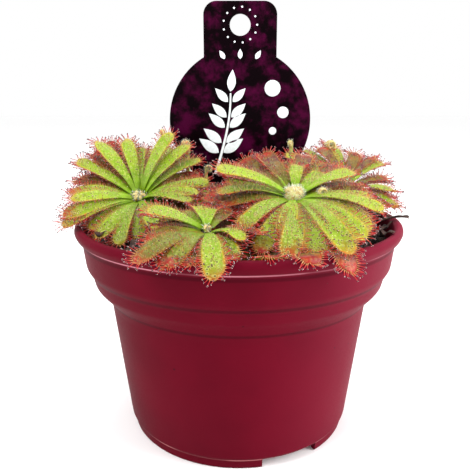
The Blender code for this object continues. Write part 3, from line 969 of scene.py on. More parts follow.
def pointing(direction):
    """A rotation that turns Z to a direction."""
    inputs = {"Vector": direction}
    return node(direction.tree, "FunctionNodeAlignRotationToVector", "Rotation", inputs, axis="Z")


def moved(geometry, offset):
    inputs = {"Geometry": geometry, "Offset": offset}
    return node(geometry.tree, "GeometryNodeSetPosition", "Geometry", inputs)


def at(place, geometry, scale=(1, 1, 1)):
    inputs = {"Geometry": geometry, "Translation": place, "Scale": scale}
    return node(geometry.tree, "GeometryNodeTransform", "Geometry", inputs)


def with_material(geometry, material):
    inputs = {"Geometry": geometry, "Material": material}
    return node(geometry.tree, "GeometryNodeSetMaterial", "Geometry", inputs)


def joined(*parts):
    tree = parts[0].tree
    join = tree.nodes.new("GeometryNodeJoinGeometry")
    for part in reversed(parts):
        feed(join.inputs["Geometry"], part)
    return Field(tree, join.outputs["Geometry"])


def smoothed(geometry):
    return node(geometry.tree, "GeometryNodeSetShadeSmooth", "Geometry", {"Geometry": geometry})


# Pot.


def rounded(points, reach, steps=4):
    """A profile with each inner corner replaced by a small curve that starts `reach` before it."""
    made = [Vector(points[0])]
    for before, corner, after in zip(points, points[1:], points[2:]):
        before, corner, after = Vector(before), Vector(corner), Vector(after)
        back, ahead = before - corner, after - corner
        near = min(reach, 0.45 * back.length, 0.45 * ahead.length)
        start, end = corner + back.normalized() * near, corner + ahead.normalized() * near
        for step in range(steps + 1):
            s = step / steps
            made.append((1 - s) ** 2 * start + 2 * s * (1 - s) * corner + s * s * end)
    made.append(Vector(points[-1]))
    return made


def cutter(name, shape):
    """A hidden object that cuts, from a bmesh in millimetres."""
    made = object_from(shape, name)
    made.hide_render = True
    return made


def foot_gap_cutter(angle):
    top = FLOOR_UNDER_Z - 0.2
    shape = bmesh.new()
    bmesh.ops.create_cube(shape, size=1.0)
    place = Vector((*polar(FOOT_OUTER_R, angle), top / 2 - 1))
    turn = Matrix.Rotation(math.radians(angle), 3, "Z")
    size = Vector((FOOT_GAP_DEPTH, FOOT_GAP_WIDTH, top + 2))
    shape.transform(Matrix.LocRotScale(place, turn, size))
    return cutter("foot gap", shape)


def drain_cutter(angle):
    shape = bmesh.new()
    bmesh.ops.create_cone(
        shape, cap_ends=True, segments=32, radius1=DRAIN_HOLE_R, radius2=DRAIN_HOLE_R, depth=3
    )
    x, y = polar(DRAIN_CIRCLE_R, angle)
    shape.transform(Matrix.Translation((x, y, (FLOOR_UNDER_Z + FLOOR_TOP_Z) / 2)))
    return cutter("drain hole", shape)


def make_pot(settings):
    """The pot, turned from its rounded profile, with its foot gaps and drain holes cut."""
    foot = [(FOOT_OUTER_R, 0.0), (FOOT_INNER_R, 0.0), (FOOT_INNER_R - 0.2, FLOOR_UNDER_Z)]
    profile = [(0.0, FLOOR_TOP_Z), *reversed(POT_INSIDE), *POT_OUTSIDE, *foot, (0.0, FLOOR_UNDER_Z)]
    shape = bmesh.new()
    chain(shape, [(p.x, 0, p.y) for p in rounded(profile, settings.corner / MM)])
    pot = object_from(shape, "nursery_pot", pot_plastic(settings))
    spin = pot.modifiers.new("spin", "SCREW")
    spin.steps = spin.render_steps = settings.steps
    spin.use_merge_vertices = True
    spin.merge_threshold = 0.00001
    cutters = [foot_gap_cutter(FIRST_GAP_AT + i * 360 / FOOT_GAPS) for i in range(FOOT_GAPS)]
    cutters += [drain_cutter(FIRST_DRAIN_HOLE_AT + i * 360 / DRAIN_HOLES) for i in range(DRAIN_HOLES)]
    for tool in cutters:
        cut = pot.modifiers.new("cut", "BOOLEAN")
        cut.operation = "DIFFERENCE"
        cut.object = tool
        cut.solver = "EXACT"
    pot = baked(pot, "nursery_pot")
    smooth(pot.data, 35)
    for tool in cutters:
        bpy.data.objects.remove(tool, do_unlink=True)
    hand_over(pot, "pot_plastic", "pot")


# Peat.


def layered_noise(x, y, kinds):
    return sum(share * noise.noise(Vector((x, y, layer)) * waves) for waves, share, layer in kinds)


def soil_height(x, y):
    """Height of the lumpy peat at (x, y), as in the solid."""
    radius = math.hypot(x, y)
    edge = SOIL_WALL[0][0]
    mound = SOIL_MOUND * max(0.0, 1 - (radius / edge) ** 2)
    fade = min(1.0, (edge - radius) / LUMPS_FADE)
    return SOIL_EDGE_Z + mound + SOIL_LUMPS * layered_noise(x, y, KINDS_OF_LUMP) * fade


def crumbled_height(x, y):
    """The peat's height with its crumbs as fine relief."""
    return soil_height(x, y) + CRUMBLED * layered_noise(x, y, KINDS_OF_CRUMBLE)


def resting_height(x, y):
    """The least height of a leaf at (x, y), which lies on the peat, over the rim or outside it."""
    radius = math.hypot(x, y)
    inside = min(1.0, PEAT_TO_R / max(radius, 1.0))
    on_peat = soil_height(x * inside, y * inside) + ABOVE_PEAT
    over_rim = POT_OUTSIDE[0][1] + ABOVE_RIM
    height = on_peat + (over_rim - on_peat) * eased(RIM_FROM_R, RIM_TO_R, radius)
    return height - FALL_SLOPE * max(0.0, radius - FALL_FROM_R)


def peat_bed(finish):
    """The peat as one closed body, with a fine top."""
    edge = SOIL_WALL[0][0] - BED_CLEARANCE
    shape = bmesh.new()
    level = shape.verts.layers.float.new("top")
    angles = [math.tau * i / BED_SIDES for i in range(BED_SIDES)]
    turns = [(math.cos(a), math.sin(a)) for a in angles]
    loops = [[shape.verts.new((r * c, r * s, z)) for c, s in turns] for r, z in reversed(SOIL_WALL)]
    for ring in range(BED_RINGS):
        radius = edge * (1 - ring / BED_RINGS)
        points = [(radius * c, radius * s) for c, s in turns]
        loops.append([shape.verts.new((x, y, crumbled_height(x, y))) for x, y in points])
        for vert in loops[-1]:
            vert[level] = 1.0
    skin(shape, loops)
    return object_from(shape, "peat", finish, sharp_from=80)


def crumbs_tree():
    """Crumbs, fibres and grains of grit strewn on the faces whose "top" attribute is 1."""
    tree, given = tree_with("peat crumbs", {
        "Apart": "Float", "Crumb": "Float", "Seed": "Int", "Material": "Material",
        "Grit Material": "Material",
    })
    seed = given["Seed"]
    points, _ = strewn(given, given["Apart"], 900000.0, named(tree, "top"))
    points = stored(points, "shade", random_value(tree, 0.0, 1.0, seed))
    place = node(tree, "GeometryNodeInputPosition", "Position")
    lumps = node(tree, "ShaderNodeTexNoise", "Color", {"Vector": place, "Scale": 1500.0})
    lumps = vector_maths("SUBTRACT", lumps, (0.5, 0.5, 0.5))
    ball = primitive(tree, "IcoSphere", Radius=given["Crumb"], Subdivisions=1)
    lumpy = moved(ball, vector_maths("SCALE", lumps, given["Crumb"]))
    turn = random_value(tree, (0, 0, 0), (6.28, 6.28, 6.28), seed)
    small = random_value(tree, (0.35, 0.35, 0.3), (1.25, 1.1, 0.9), seed)
    crumbs = placed(points, lumpy, turn, small)
    fibre = primitive(
        tree, "Cone", Vertices=4, Radius_Top=0.04 * MM, Radius_Bottom=0.12 * MM, Depth=4 * MM
    )
    lying = random_value(tree, (1.2, -0.3, 0.0), (1.8, 0.3, 6.28), seed)
    few = random_value(tree, 0.0, 1.0, seed + 5).above(FIBRES_ABOVE)
    long = random_value(tree, (0.8, 0.8, 0.4), (1.3, 1.3, 1.2), seed)
    fibres = placed(points, fibre, lying, long, Selection=few)
    both = with_material(smoothed(joined(crumbs, fibres)), given["Material"])
    rare = random_value(tree, 0.0, 1.0, seed + 9).above(GRIT_ABOVE)
    size = random_value(tree, (0.45, 0.45, 0.45), (0.8, 0.8, 0.8), seed)
    grit = placed(moved(points, (0, 0, 0.4 * MM)), lumpy, turn, size, Selection=rare)
    close_tree(joined(both, with_material(grit, given["Grit Material"])))
    return tree


def make_peat(settings):
    """The bed of peat, and what is strewn on it."""
    bed = peat_bed(peat_finish(settings, "peat", 1.0))
    crumb_finish = peat_finish(settings, "peat crumb", 0.7)
    values = {
        "Apart": settings.apart, "Crumb": settings.crumb, "Seed": 4, "Material": crumb_finish,
        "Grit Material": grit_finish(settings),
    }
    crumbs = grow(bed, crumbs_tree(), values, "peat_crumbs")
    hand_over(bed, "peat", "soil")
    hand_over(crumbs, "peat")


# Label.


def label_outline():
    """The label's outline in its own plane, counter-clockwise from the foot of its stake."""
    tab_meets = math.degrees(math.acos(TAB_HALF_WIDTH / HEAD_R))
    stake_meets = math.degrees(math.asin(STAKE_HALF_WIDTH / HEAD_R))
    corner = TAB_HALF_WIDTH - TAB_CORNER_R
    corner_z = TAB_TOP_Z - TAB_CORNER_R
    right = [(0.0, STAKE_TIP_Z), (STAKE_TIP_HALF_WIDTH, STAKE_TIP_Z), (STAKE_HALF_WIDTH, STAKE_BEND_Z)]
    right += arc((0.0, HEAD_Z), HEAD_R, stake_meets - 90, tab_meets, 60)
    right += arc((corner, corner_z), TAB_CORNER_R, 0, 90, 12)
    left = [(-x, z) for x, z in reversed(right[1:])]
    return right + left


def flat_card(name, outlines, half_thickness, edge, front, finish):
    """A flat shape upright in the label's plane, `front` millimetres before its middle."""
    curve = bpy.data.curves.new(name, "CURVE")
    curve.dimensions = "2D"
    curve.fill_mode = "BOTH"
    curve.extrude = (half_thickness - edge) * MM
    curve.bevel_depth = edge * MM
    curve.bevel_resolution = 2
    curve.offset = -edge * MM
    for outline in outlines:
        line = curve.splines.new("POLY")
        line.points.add(len(outline) - 1)
        for point, (x, z) in zip(line.points, outline):
            point.co = (x * MM, z * MM, 0, 1)
        line.use_cyclic_u = True
    card = baked(new_object(name, curve), name)
    shape = bmesh.new()
    shape.from_mesh(card.data)
    bmesh.ops.remove_doubles(shape, verts=shape.verts, dist=1e-7)
    upright = Matrix.Rotation(math.pi / 2, 4, "X")
    shape.transform(Matrix.Translation((LABEL_X * MM, (LABEL_Y - front) * MM, 0)) @ upright)
    bmesh.ops.recalc_face_normals(shape, faces=shape.faces)
    shape.to_mesh(card.data)
    shape.free()
    smooth(card.data, 50)
    card.data.materials.clear()
    card.data.materials.append(finish)
    return card


def pointed_oval(root, degrees, length, width, steps=10):
    """A leaf's outline from its root, pointing to an angle. It is widest past its middle."""
    turn = Matrix.Rotation(math.radians(degrees), 2)
    shares = [i / steps for i in range(steps + 1)]
    right = [(length * s, width / 2 * math.sin(math.pi * s ** 0.8)) for s in shares]
    outline = right + [(x, -y) for x, y in reversed(right[1:-1])]
    return [tuple(Vector(root) + turn @ Vector(p)) for p in outline]


def stroke(points, width):
    """The outline of a line of that width through the points, thinner at its end."""
    left, right = [], []
    for i, point in enumerate(points):
        here = Vector(point)
        before, after = Vector(points[max(i - 1, 0)]), Vector(points[min(i + 1, len(points) - 1)])
        ahead = (after - before).normalized()
        aside = Vector((-ahead.y, ahead.x)) * (width / 2 * (1 - 0.5 * i / len(points)))
        left.append(tuple(here + aside))
        right.append(tuple(here - aside))
    return right + list(reversed(left))


def sprig():
    """Outlines of a simple sprig: a swaying stalk, leaves in pairs and one at the end."""
    steps = 16
    x, z = SPRIG_FOOT
    line = [
        (x + SPRIG_SWAY * math.sin(1.6 * i / steps), z + SPRIG_HEIGHT * i / steps) for i in range(steps + 1)
    ]
    outlines = [stroke(line, SPRIG_STALK)]
    for pair in range(SPRIG_PAIRS):
        share = 0.22 + 0.66 * pair / (SPRIG_PAIRS - 1)
        root = line[round(share * steps)]
        size = SPRIG_LEAF * (1 - 0.35 * share)
        for side in (-1, 1):
            start = (root[0] + side * 0.75, root[1] + 0.5)
            outlines.append(pointed_oval(start, 90 - side * (58 - 16 * share), size, 0.42 * size))
    top = (line[-1][0], line[-1][1] + 0.5)
    outlines.append(pointed_oval(top, 84, SPRIG_LEAF * 0.8, SPRIG_LEAF * 0.32))
    return outlines


def dots_tree():
    """Round dots spaced evenly along a line, as flat discs that face along Y."""
    tree, given = tree_with(
        "dots", {"Apart": "Float", "Radius": "Float", "Depth": "Float", "Material": "Material"}
    )
    line = node(tree, "GeometryNodeMeshToCurve", "Curve", {"Mesh": given["Geometry"]})
    points = resampled(line, given["Apart"])
    disc = primitive(tree, "Cylinder", Vertices=16, Radius=given["Radius"], Depth=given["Depth"])
    dots = placed(points, disc, (math.pi / 2, 0, 0), (1, 1, 1))
    close_tree(with_material(dots, given["Material"]))
    return tree


def dotted(name, path, front, finish):
    """Dots along a path in the label's plane."""
    shape = bmesh.new()
    chain(shape, [(LABEL_X + x, LABEL_Y - front, z) for x, z in path])
    line = object_from(shape, name + " line")
    values = {
        "Apart": DOTS_APART * MM, "Radius": DOT_R * MM, "Depth": PRINT_DEPTH * MM, "Material": finish
    }
    dots = grow(line, dots_tree(), values, name)
    bpy.data.objects.remove(line, do_unlink=True)
    return dots


def make_label(settings):
    """The card with its rounded edge and hanging hole, and a plain printed pattern on its front."""
    hole = list(reversed(circle(0.0, HANG_HOLE_Z, HANG_HOLE_R, 48)))
    front = LABEL_THICKNESS / 2
    outlines = [label_outline(), hole]
    card = flat_card("label_card", outlines, front, settings.edge / MM, 0.0, card_finish(settings))
    hand_over(card, "label_card", "label")
    ink = ink_finish(settings)
    shapes = {
        "print_sprig": sprig(),
        "print_seeds": [circle(x, z, radius) for x, z, radius in PRINT_DISCS],
        "print_tab": [
            pointed_oval((TAB_LEAVES_APART * i, TAB_LEAVES_Z), 90 - TAB_LEAVES_TURN * i, *TAB_LEAF)
            for i in (-1, 0, 1)
        ],
    }
    for name, outlines in shapes.items():
        piece = flat_card(name, outlines, PRINT_DEPTH / 2, PRINT_EDGE, front, ink)
        hand_over(piece, "label_card")
    ring = arc((0.0, HANG_HOLE_Z), DOTS_R, 0, DOTS_END, 60)
    hand_over(dotted("print_dots", ring, front, ink), "label_card")


# Leaf blades. A leaf is a dictionary of its sizes, and t is a share of its length.


def half_width(t, widest):
    """Half of the blade's width at share t of its length."""
    if t <= WIDEST_AT:
        return STALK_HALF_WIDTH + (widest / 2 - STALK_HALF_WIDTH) * eased(0.0, FULL_WIDTH_FROM, t)
    s = (t - WIDEST_AT) / (1 - WIDEST_AT)
    return widest / 2 * math.sqrt(max(0.0, 1 - s * s))


def leaf_direction(t, leaf):
    """The blade's forward and upward directions at share t of its length. It arches down."""
    angle = math.radians(leaf["rise"] + LEAF_DROOP * (0.5 - t))
    return Vector((math.cos(angle), 0, math.sin(angle))), Vector((-math.sin(angle), 0, math.cos(angle)))


def spine_point(t, leaf):
    """A point of the blade's middle line."""
    turn = math.radians(LEAF_DROOP)
    upward = leaf_direction(t, leaf)[1]
    bow = (leaf_direction(0, leaf)[1] - upward) * -leaf["length"] / turn
    bow -= upward * (leaf["hang"] * leaf["length"] * t * t)
    return bow + Vector((LEAF_ROOT_R, leaf["bend"] * leaf["length"] * t * t, leaf["rise"] * ROOT_CLIMB))


def blade_point(t, across, face, leaf):
    """A point of the blade's upper face (face 1) or lower face (face -1)."""
    upward = leaf_direction(t, leaf)[1]
    wide = half_width(t, leaf["width"]) * across
    cup = leaf["cup"] * (math.sqrt(wide * wide + 0.16) - 0.4)
    wave = leaf["wave"] * math.sin(leaf["phase"] + 8 * t) * across * abs(across) * t
    thick = leaf["thickness"] / 2 * (1 - 0.55 * across * across)
    if face < 0:
        thick *= 1 + 0.5 * (1 - abs(across)) * (1 - 0.6 * t)
    return spine_point(t, leaf) + Vector((0, wide, 0)) + upward * (cup + wave + face * thick)


def outwards_at(t, across, leaf):
    """The direction in which a margin tentacle leaves the blade."""
    forward, upward = leaf_direction(t, leaf)
    step = 0.004
    slope = (half_width(t, leaf["width"]) - half_width(t - step, leaf["width"])) / (step * leaf["length"])
    flat = Vector((0, across, 0)) + forward * (0.3 - slope * abs(across))
    if abs(across) < 0.999:
        flat = Vector((0, across, 0)) * 0.6 + forward
    return (flat.normalized() + upward * 0.3).normalized()


def rosette_frame(rosette):
    """The matrix from the rosette's disc, with its crown at zero, to the part's frame in millimetres."""
    towards, angle = rosette["leans"]
    axis = Vector((-math.sin(math.radians(towards)), math.cos(math.radians(towards)), 0))
    return Matrix.Translation(rosette["crown"]) @ Matrix.Rotation(math.radians(angle), 4, axis)


def in_box(point, room):
    """Whether a point is at least `room` inside the box of the solids, sideways."""
    low, high = SOLIDS
    return all(low[i] / MM + room < point[i] < high[i] / MM - room for i in (0, 1))


def old_leaves(rosette, draw):
    """(azimuth, length, rise) of a rosette's old leaves: all round it, higher at the back, and low ones."""
    count = rosette["old"]
    leaves = []
    for i in range(count):
        azimuth = 360 * (i + draw.uniform(-0.4, 0.4)) / count
        length = rosette["old_length"] * draw.uniform(0.85, 1)
        lift = BACK_LIFT * max(0.0, math.sin(math.radians(azimuth)))
        leaves.append((azimuth, length, draw.uniform(*OLD_RISE) + lift))
    return (*leaves, *rosette["low"])


def leaves_of(rosette, draw, settings, reach):
    """Each leaf's sizes and the matrix that places it, with a small random bend and twist.

    A leaf is shortened until a tentacle of length `reach` on its tip stays in the box of the solids.
    """
    here = rosette_frame(rosette)
    young = rosette["leaves"]
    own = random.Random(len(young))
    for i, (azimuth, length, rise) in enumerate((*young, *old_leaves(rosette, own))):
        source = draw if i < len(young) else own
        age = LOW_AGE * (YOUNG_RISE - rise) / RISE_SPAN if i < len(young) else OLD_AGE
        age += RED_SIDE_AGE * max(0.0, math.cos(math.radians(azimuth - rosette["red_side"])))
        share = min(WIDEST_SHARE, length / FULL_LENGTH)
        towards_front = max(0.0, -math.sin(math.radians(azimuth)))
        leaf = {
            "length": length * settings.longer,
            "rise": rise,
            "width": settings.wider * rosette["width"] * (NARROW_SHARE + (1 - NARROW_SHARE) * share),
            "bend": source.uniform(-SIDEWAYS_BEND, SIDEWAYS_BEND),
            "cup": own.uniform(-0.15, 0.4),
            "thickness": settings.thickness / MM,
            "wave": own.uniform(0.05, 0.45),
            # Random tone, and painted shade that grows as the leaf sinks below BRIGHT_RISE.
            "tone_and_shade": own.random() * (
                LEAST_TONE + (1 - LEAST_TONE) * clamped((BRIGHT_RISE - rise) / RISE_SPAN)
            ),
            "phase": own.uniform(0, math.tau),
            "age": clamped(age + own.uniform(-0.15, 0.1)),
            "hang": rosette["hang"] * towards_front * (2 if length > LONG_LEAF else 1),
        }
        twist = Matrix.Rotation(math.radians(source.uniform(-MOST_TWIST, MOST_TWIST)), 4, "X")
        place = here @ (about_z(azimuth) @ twist)
        while not in_box(place @ spine_point(1, leaf), reach):
            leaf["length"] *= 0.98
        yield leaf, place


def blade_rows():
    """Shares of the length at which the blade has a row of points."""
    along = [WIDEST_AT * i / ROWS_ALONG for i in range(ROWS_ALONG)]
    sweep = [math.radians(END_SWEEP * i / ROWS_ROUND_END) for i in range(ROWS_ROUND_END + 1)]
    return along + [WIDEST_AT + (1 - WIDEST_AT) * math.sin(a) for a in sweep]


def blade_faces(start, last):
    """The faces of one blade whose points begin at `start`: its upper and lower face and its margin."""
    def index(face, row, column):
        under = 0 if face > 0 else (last + 1) * COLUMNS
        return start + under + row * COLUMNS + column

    faces = []
    for r in range(last):
        for c in range(COLUMNS - 1):
            quad = ((r, c), (r + 1, c), (r + 1, c + 1), (r, c + 1))
            faces.append([index(1, *corner) for corner in quad])
            faces.append([index(-1, *corner) for corner in reversed(quad)])
    margin = [(r, 0) for r in range(last + 1)] + [(last, c) for c in range(1, COLUMNS)]
    margin += [(r, COLUMNS - 1) for r in range(last - 1, -1, -1)]
    margin += [(0, c) for c in range(COLUMNS - 2, 0, -1)]
    for here, after in zip(margin, margin[1:] + margin[:1]):
        faces.append([index(1, *after), index(1, *here), index(-1, *here), index(-1, *after)])
    return faces


def blades_mesh(name, leaves):
    """All the blades of a rosette as one mesh, with the attributes that colour and clothe them."""
    rows = blade_rows()
    last = len(rows) - 1
    columns = [math.sin(math.pi / 2 * (2 * i / (COLUMNS - 1) - 1)) for i in range(COLUMNS)]
    places, faces, outwards = [], [], []
    values = {"reach": [], "side": [], "age": [], "tone_and_shade": [], "upper": [], "rim": []}
    for leaf, place in leaves:
        faces += blade_faces(len(places), last)
        turn = place.to_3x3()
        for face, (r, t), (c, across) in itertools.product((1, -1), enumerate(rows), enumerate(columns)):
            under = place @ blade_point(t, across, -1, leaf)
            lift = max(0.0, resting_height(under.x, under.y) - under.z)
            places.append(place @ blade_point(t, across, face, leaf) + Vector((0, 0, lift)))
            on_rim = face > 0 and t >= RIM_FROM and (c in (0, COLUMNS - 1) or r == last)
            outwards.append(turn @ outwards_at(t, across, leaf) if on_rim else Vector())
            point = {
                "reach": t, "side": abs(across), "age": leaf["age"], "tone_and_shade": leaf["tone_and_shade"],
                "upper": eased(0.08, 0.3, t) if face > 0 else 0.0, "rim": 1.0 if on_rim else 0.0,
            }
            for key, value in point.items():
                values[key].append(value)
    mesh = bpy.data.meshes.new(name)
    mesh.from_pydata([p * MM for p in places], [], faces)
    for key, numbers in values.items():
        mesh.attributes.new(key, "FLOAT", "POINT").data.foreach_set("value", numbers)
    flat = [number for vector in outwards for number in vector]
    mesh.attributes.new("outwards", "FLOAT_VECTOR", "POINT").data.foreach_set("vector", flat)
    mesh.update()
    mesh.shade_smooth()
    return mesh


# Tentacles.


def one_tentacle(length, stalk, gland, drop, bent, materials):
    """A tentacle that stands on Z and leans a little, and its drop, as two geometries.

    A straight one has fewer faces, for the blade's face.
    """
    tree = length.tree
    top = node(tree, "ShaderNodeCombineXYZ", "Vector", {"X": length * 0.22, "Z": length})
    if bent:
        middle = node(tree, "ShaderNodeCombineXYZ", "Vector", {"Z": length * 0.55})
        inputs = {"Resolution": 3, "Start": (0, 0, 0), "Middle": middle, "End": top}
        line = node(tree, "GeometryNodeCurveQuadraticBezier", "Curve", inputs)
        glue = primitive(tree, "IcoSphere", Radius=drop, Subdivisions=1)
    else:
        inputs = {"Start": (0, 0, 0), "End": top}
        line = node(tree, "GeometryNodeCurvePrimitiveLine", "Curve", inputs)
        glue = primitive(tree, "UVSphere", Radius=drop, Segments=4, Rings=3)
    share = node(tree, "GeometryNodeSplineParameter", "Factor")
    line = stored(line, "along", share)
    radius = stalk * share.mapped(0.0, 1.0, 1.0, 0.55, "LINEAR")
    ring = node(tree, "GeometryNodeCurvePrimitiveCircle", "Curve", {"Resolution": 3, "Radius": 1.0})
    inputs = {"Curve": line, "Profile Curve": ring, "Scale": radius, "Fill Caps": True}
    tube = with_material(node(tree, "GeometryNodeCurveToMesh", "Mesh", inputs), materials["Stalk"])
    head = at(top, primitive(tree, "UVSphere", Radius=gland, Segments=4, Rings=2), (0.8, 0.8, 1.25))
    head = with_material(stored(head, "along", 1.0), materials["Gland"])
    return smoothed(joined(tube, head)), smoothed(with_material(at(top, glue), materials["Glue"]))


def tentacles_tree():
    """Tentacles on the rim and on the upper face of each blade. Drops makes their drops of glue instead."""
    lengths = ("Rim Length", "Rim Apart", "Face Length", "Face Apart", "Stalk", "Gland", "Drop")
    sockets = {name: "Float" for name in lengths}
    sockets.update({"Seed": "Int", "Drops": "Bool"})
    sockets.update({name + " Material": "Material" for name in ("Stalk", "Gland", "Glue")})
    tree, given = tree_with("tentacles", sockets)
    seed = given["Seed"]
    materials = {name: given[name + " Material"] for name in ("Stalk", "Gland", "Glue")}
    age, reach, side = (named(tree, name) for name in ("age", "reach", "side"))

    def grown(points, outward, length, share, bent, size, offset):
        """Tentacles on points. `share` sizes their parts against those of a rim tentacle."""
        parts = [given[name] * share for name in ("Stalk", "Gland", "Drop")]
        plant, drop = one_tentacle(length, *parts, bent, materials)
        inputs = {"Switch": given["Drops"], "False": plant, "True": drop}
        shape = node(tree, "GeometryNodeSwitch", "Output", inputs, input_type="GEOMETRY")
        inputs = {"Axis": (0, 0, 1), "Angle": random_value(tree, 0.0, 6.283, seed + offset)}
        spin = node(tree, "FunctionNodeAxisAngleToRotation", "Rotation", inputs)
        inputs = {"Rotation": pointing(outward), "Rotate By": spin}
        turn = node(tree, "FunctionNodeRotateRotation", "Rotation", inputs, rotation_space="LOCAL")
        return placed(points, shape, turn, size)

    # On the rim.
    inputs = {"Mesh": given["Geometry"], "Selection": named(tree, "rim").above(0.9)}
    rim = resampled(node(tree, "GeometryNodeMeshToCurve", "Curve", inputs), given["Rim Apart"])
    rim = node(tree, "GeometryNodeCurveToPoints", "Points", {"Curve": rim}, mode="EVALUATED")
    redness = (age * 0.5).maths("ADD", reach.mapped(0.3, 0.9, 0.4, 0.9), clamp=True)
    rim = stored(rim, "redness", redness)
    outward = stray_from(named(tree, "outwards", "FLOAT_VECTOR"), 0.28, seed)
    grade = reach.mapped(RIM_FROM, 0.97, 0.5, TIP_GRADE, "LINEAR")
    size = grade * random_value(tree, 0.7, LONGEST, seed + 1)
    on_margin = grown(rim, outward, given["Rim Length"], 1.0, True, size, 2)

    # On the face. Old leaves have fewer.
    chosen = named(tree, "upper") * age.mapped(0.6, 1.0, 1.0, 0.5)
    face, normal = strewn(given, given["Face Apart"], 6000000.0, chosen)
    at_edges = side * side * reach.mapped(0.3, 1.0, 0.15, 0.5)
    face = stored(face, "redness", age.mapped(0.5, 1.0, 0.05, 0.7).maths("ADD", at_edges, clamp=True))
    face = stored(face, "grade", random_value(tree, 0.6, 1.2, seed + 4))
    outward = stray_from(normal, 0.35, seed + 3)
    size = named(tree, "grade") * reach.mapped(0.1, 0.6, 0.5, 1.0)
    on_face = grown(face, outward, given["Face Length"], FACE_SHARE, False, size, 6)
    close_tree(joined(on_margin, on_face))
    return tree


def make_tentacles(settings):
    """The tentacles of every rosette, and the drop of glue on the end of each."""
    tree = tentacles_tree()
    values = {
        "Rim Length": settings.rim_length, "Rim Apart": settings.rim_apart,
        "Face Length": settings.face_length, "Face Apart": settings.face_apart,
        "Stalk": settings.stalk, "Gland": settings.gland_r, "Drop": settings.drop, "Seed": settings.seed,
        "Stalk Material": stalk_finish(settings), "Gland Material": gland_finish(settings),
        "Glue Material": glue_finish(),
    }
    for name in ROSETTES:
        blades = bpy.data.objects[f"blades_{name}"]
        tentacles = grow(blades, tree, {**values, "Drops": False}, f"tentacles_{name}")
        hand_over(tentacles, "sundew_leaf")
        hand_over(grow(blades, tree, {**values, "Drops": True}, f"glue_{name}"))


# Crowns, curled young leaves and withered ones.


def curled_leaf(shape, layer, place, size, height, tilt=0.5):
    """A young leaf as a fat tapering tube that rises and rolls in over the crown."""
    rings, sides, turns, risen = 18, 8, 1.15, 0.35
    side = Vector((0, 1, 0))
    loops = []
    for ring in range(rings + 1):
        s = ring / rings
        if s < risen:
            spot, ahead = Vector((tilt * s, 0, height * s / risen)), Vector((0, 0, 1))
            wide = size * (0.45 + 0.4 * s / risen)
        else:
            roll = (s - risen) / (1 - risen)
            angle = roll * turns * math.tau
            radius = size * (1 - 0.45 * roll)
            x, z = radius * math.cos(angle), radius * math.sin(angle)
            spot = Vector((tilt * risen - size + x, 0, height + z))
            ahead = Vector((-math.sin(angle), 0, math.cos(angle)))
            wide = size * (0.85 - 0.35 * roll)
        out = side.cross(ahead)
        thick = size * (0.5 - 0.22 * s)
        loop = []
        for i in range(sides):
            a = math.tau * i / sides
            offset = side * (wide * math.cos(a)) + out * (thick * math.sin(a))
            vert = shape.verts.new(place @ (spot + offset))
            vert[layer] = s
            loop.append(vert)
        loops.append(loop)
    skin(shape, loops)


def rough_stem(shape, x, y, top):
    """A stem from the peat up to the crown, roughened by its old leaf bases."""
    foot = soil_height(x, y) - STEM_DEPTH
    loops = []
    for ring in range(STEM_RINGS + 1):
        share = ring / STEM_RINGS
        radius = STEM_R + (STEM_TOP_R - STEM_R) * share
        height = foot + (top - foot) * share
        loop = []
        for i in range(STEM_SIDES):
            a = math.tau * i / STEM_SIDES
            c, s = math.cos(a), math.sin(a)
            r = radius - 0.25 + 0.3 * noise.noise(Vector((3 * c, 3 * s, height)) * 0.9)
            loop.append(shape.verts.new((x + r * c, y + r * s, height)))
        loops.append(loop)
    skin(shape, loops, material=1)


def make_crown(name, rosette, draw, finishes):
    """The crown: a stem wrapped in old bases, a heart and a whorl of curled young leaves."""
    shape = bmesh.new()
    layer = shape.verts.layers.float.new("reach")
    here = rosette_frame(rosette)
    rough_stem(shape, *rosette["crown"])
    count, ring, size, height, heart_r = CROWNS[name]
    middle = here @ Matrix.Translation((0, 0, 0.35 * heart_r))
    heart = bmesh.ops.create_icosphere(shape, subdivisions=3, radius=heart_r, matrix=middle)
    for vert in heart["verts"]:
        vert[layer] = 0.5
    for i in range(count):
        turn = about_z(360 * i / count + draw.uniform(-12, 12))
        place = here @ turn @ Matrix.Translation((ring, 0, 0.2))
        curled_leaf(shape, layer, place, size * draw.uniform(0.8, 1.15), height * draw.uniform(0.8, 1.15))
    return object_from(shape, f"crown_{name}", *finishes, sharp_from=60)


def make_curled_tips(finishes):
    """The ends of young leaves that stand up among the others and are still curled."""
    shape = bmesh.new()
    layer = shape.verts.layers.float.new("reach")
    for point, azimuth, size, height in CURLED_TIPS:
        place = Matrix.Translation(point) @ about_z(azimuth) @ Matrix.Translation((size, 0, -height))
        curled_leaf(shape, layer, place, size, height, tilt=0.0)
    return object_from(shape, "curled_tips", *finishes, sharp_from=60)


def make_withered():
    """Dead leaves on the peat below the plants."""
    draw = random.Random(SEED + 2)
    leaves = []
    for x, y, azimuth, length, rise in WITHERED:
        leaf = {
            "length": length, "rise": rise, "width": WITHERED_WIDTH, "bend": draw.uniform(-0.2, 0.2),
            "cup": draw.uniform(0.4, 0.9), "thickness": 0.3, "wave": draw.uniform(0.4, 0.9),
            "phase": draw.uniform(0, math.tau), "age": 1.0, "tone_and_shade": 1.0, "hang": 0.0,
        }
        root = Matrix.Translation((x, y, soil_height(x, y) + WITHERED_ABOVE))
        leaves.append((leaf, root @ about_z(azimuth)))
    piece = new_object("withered_leaves", blades_mesh("withered_leaves", leaves))
    piece.data.materials.append(withered_finish())
    return piece


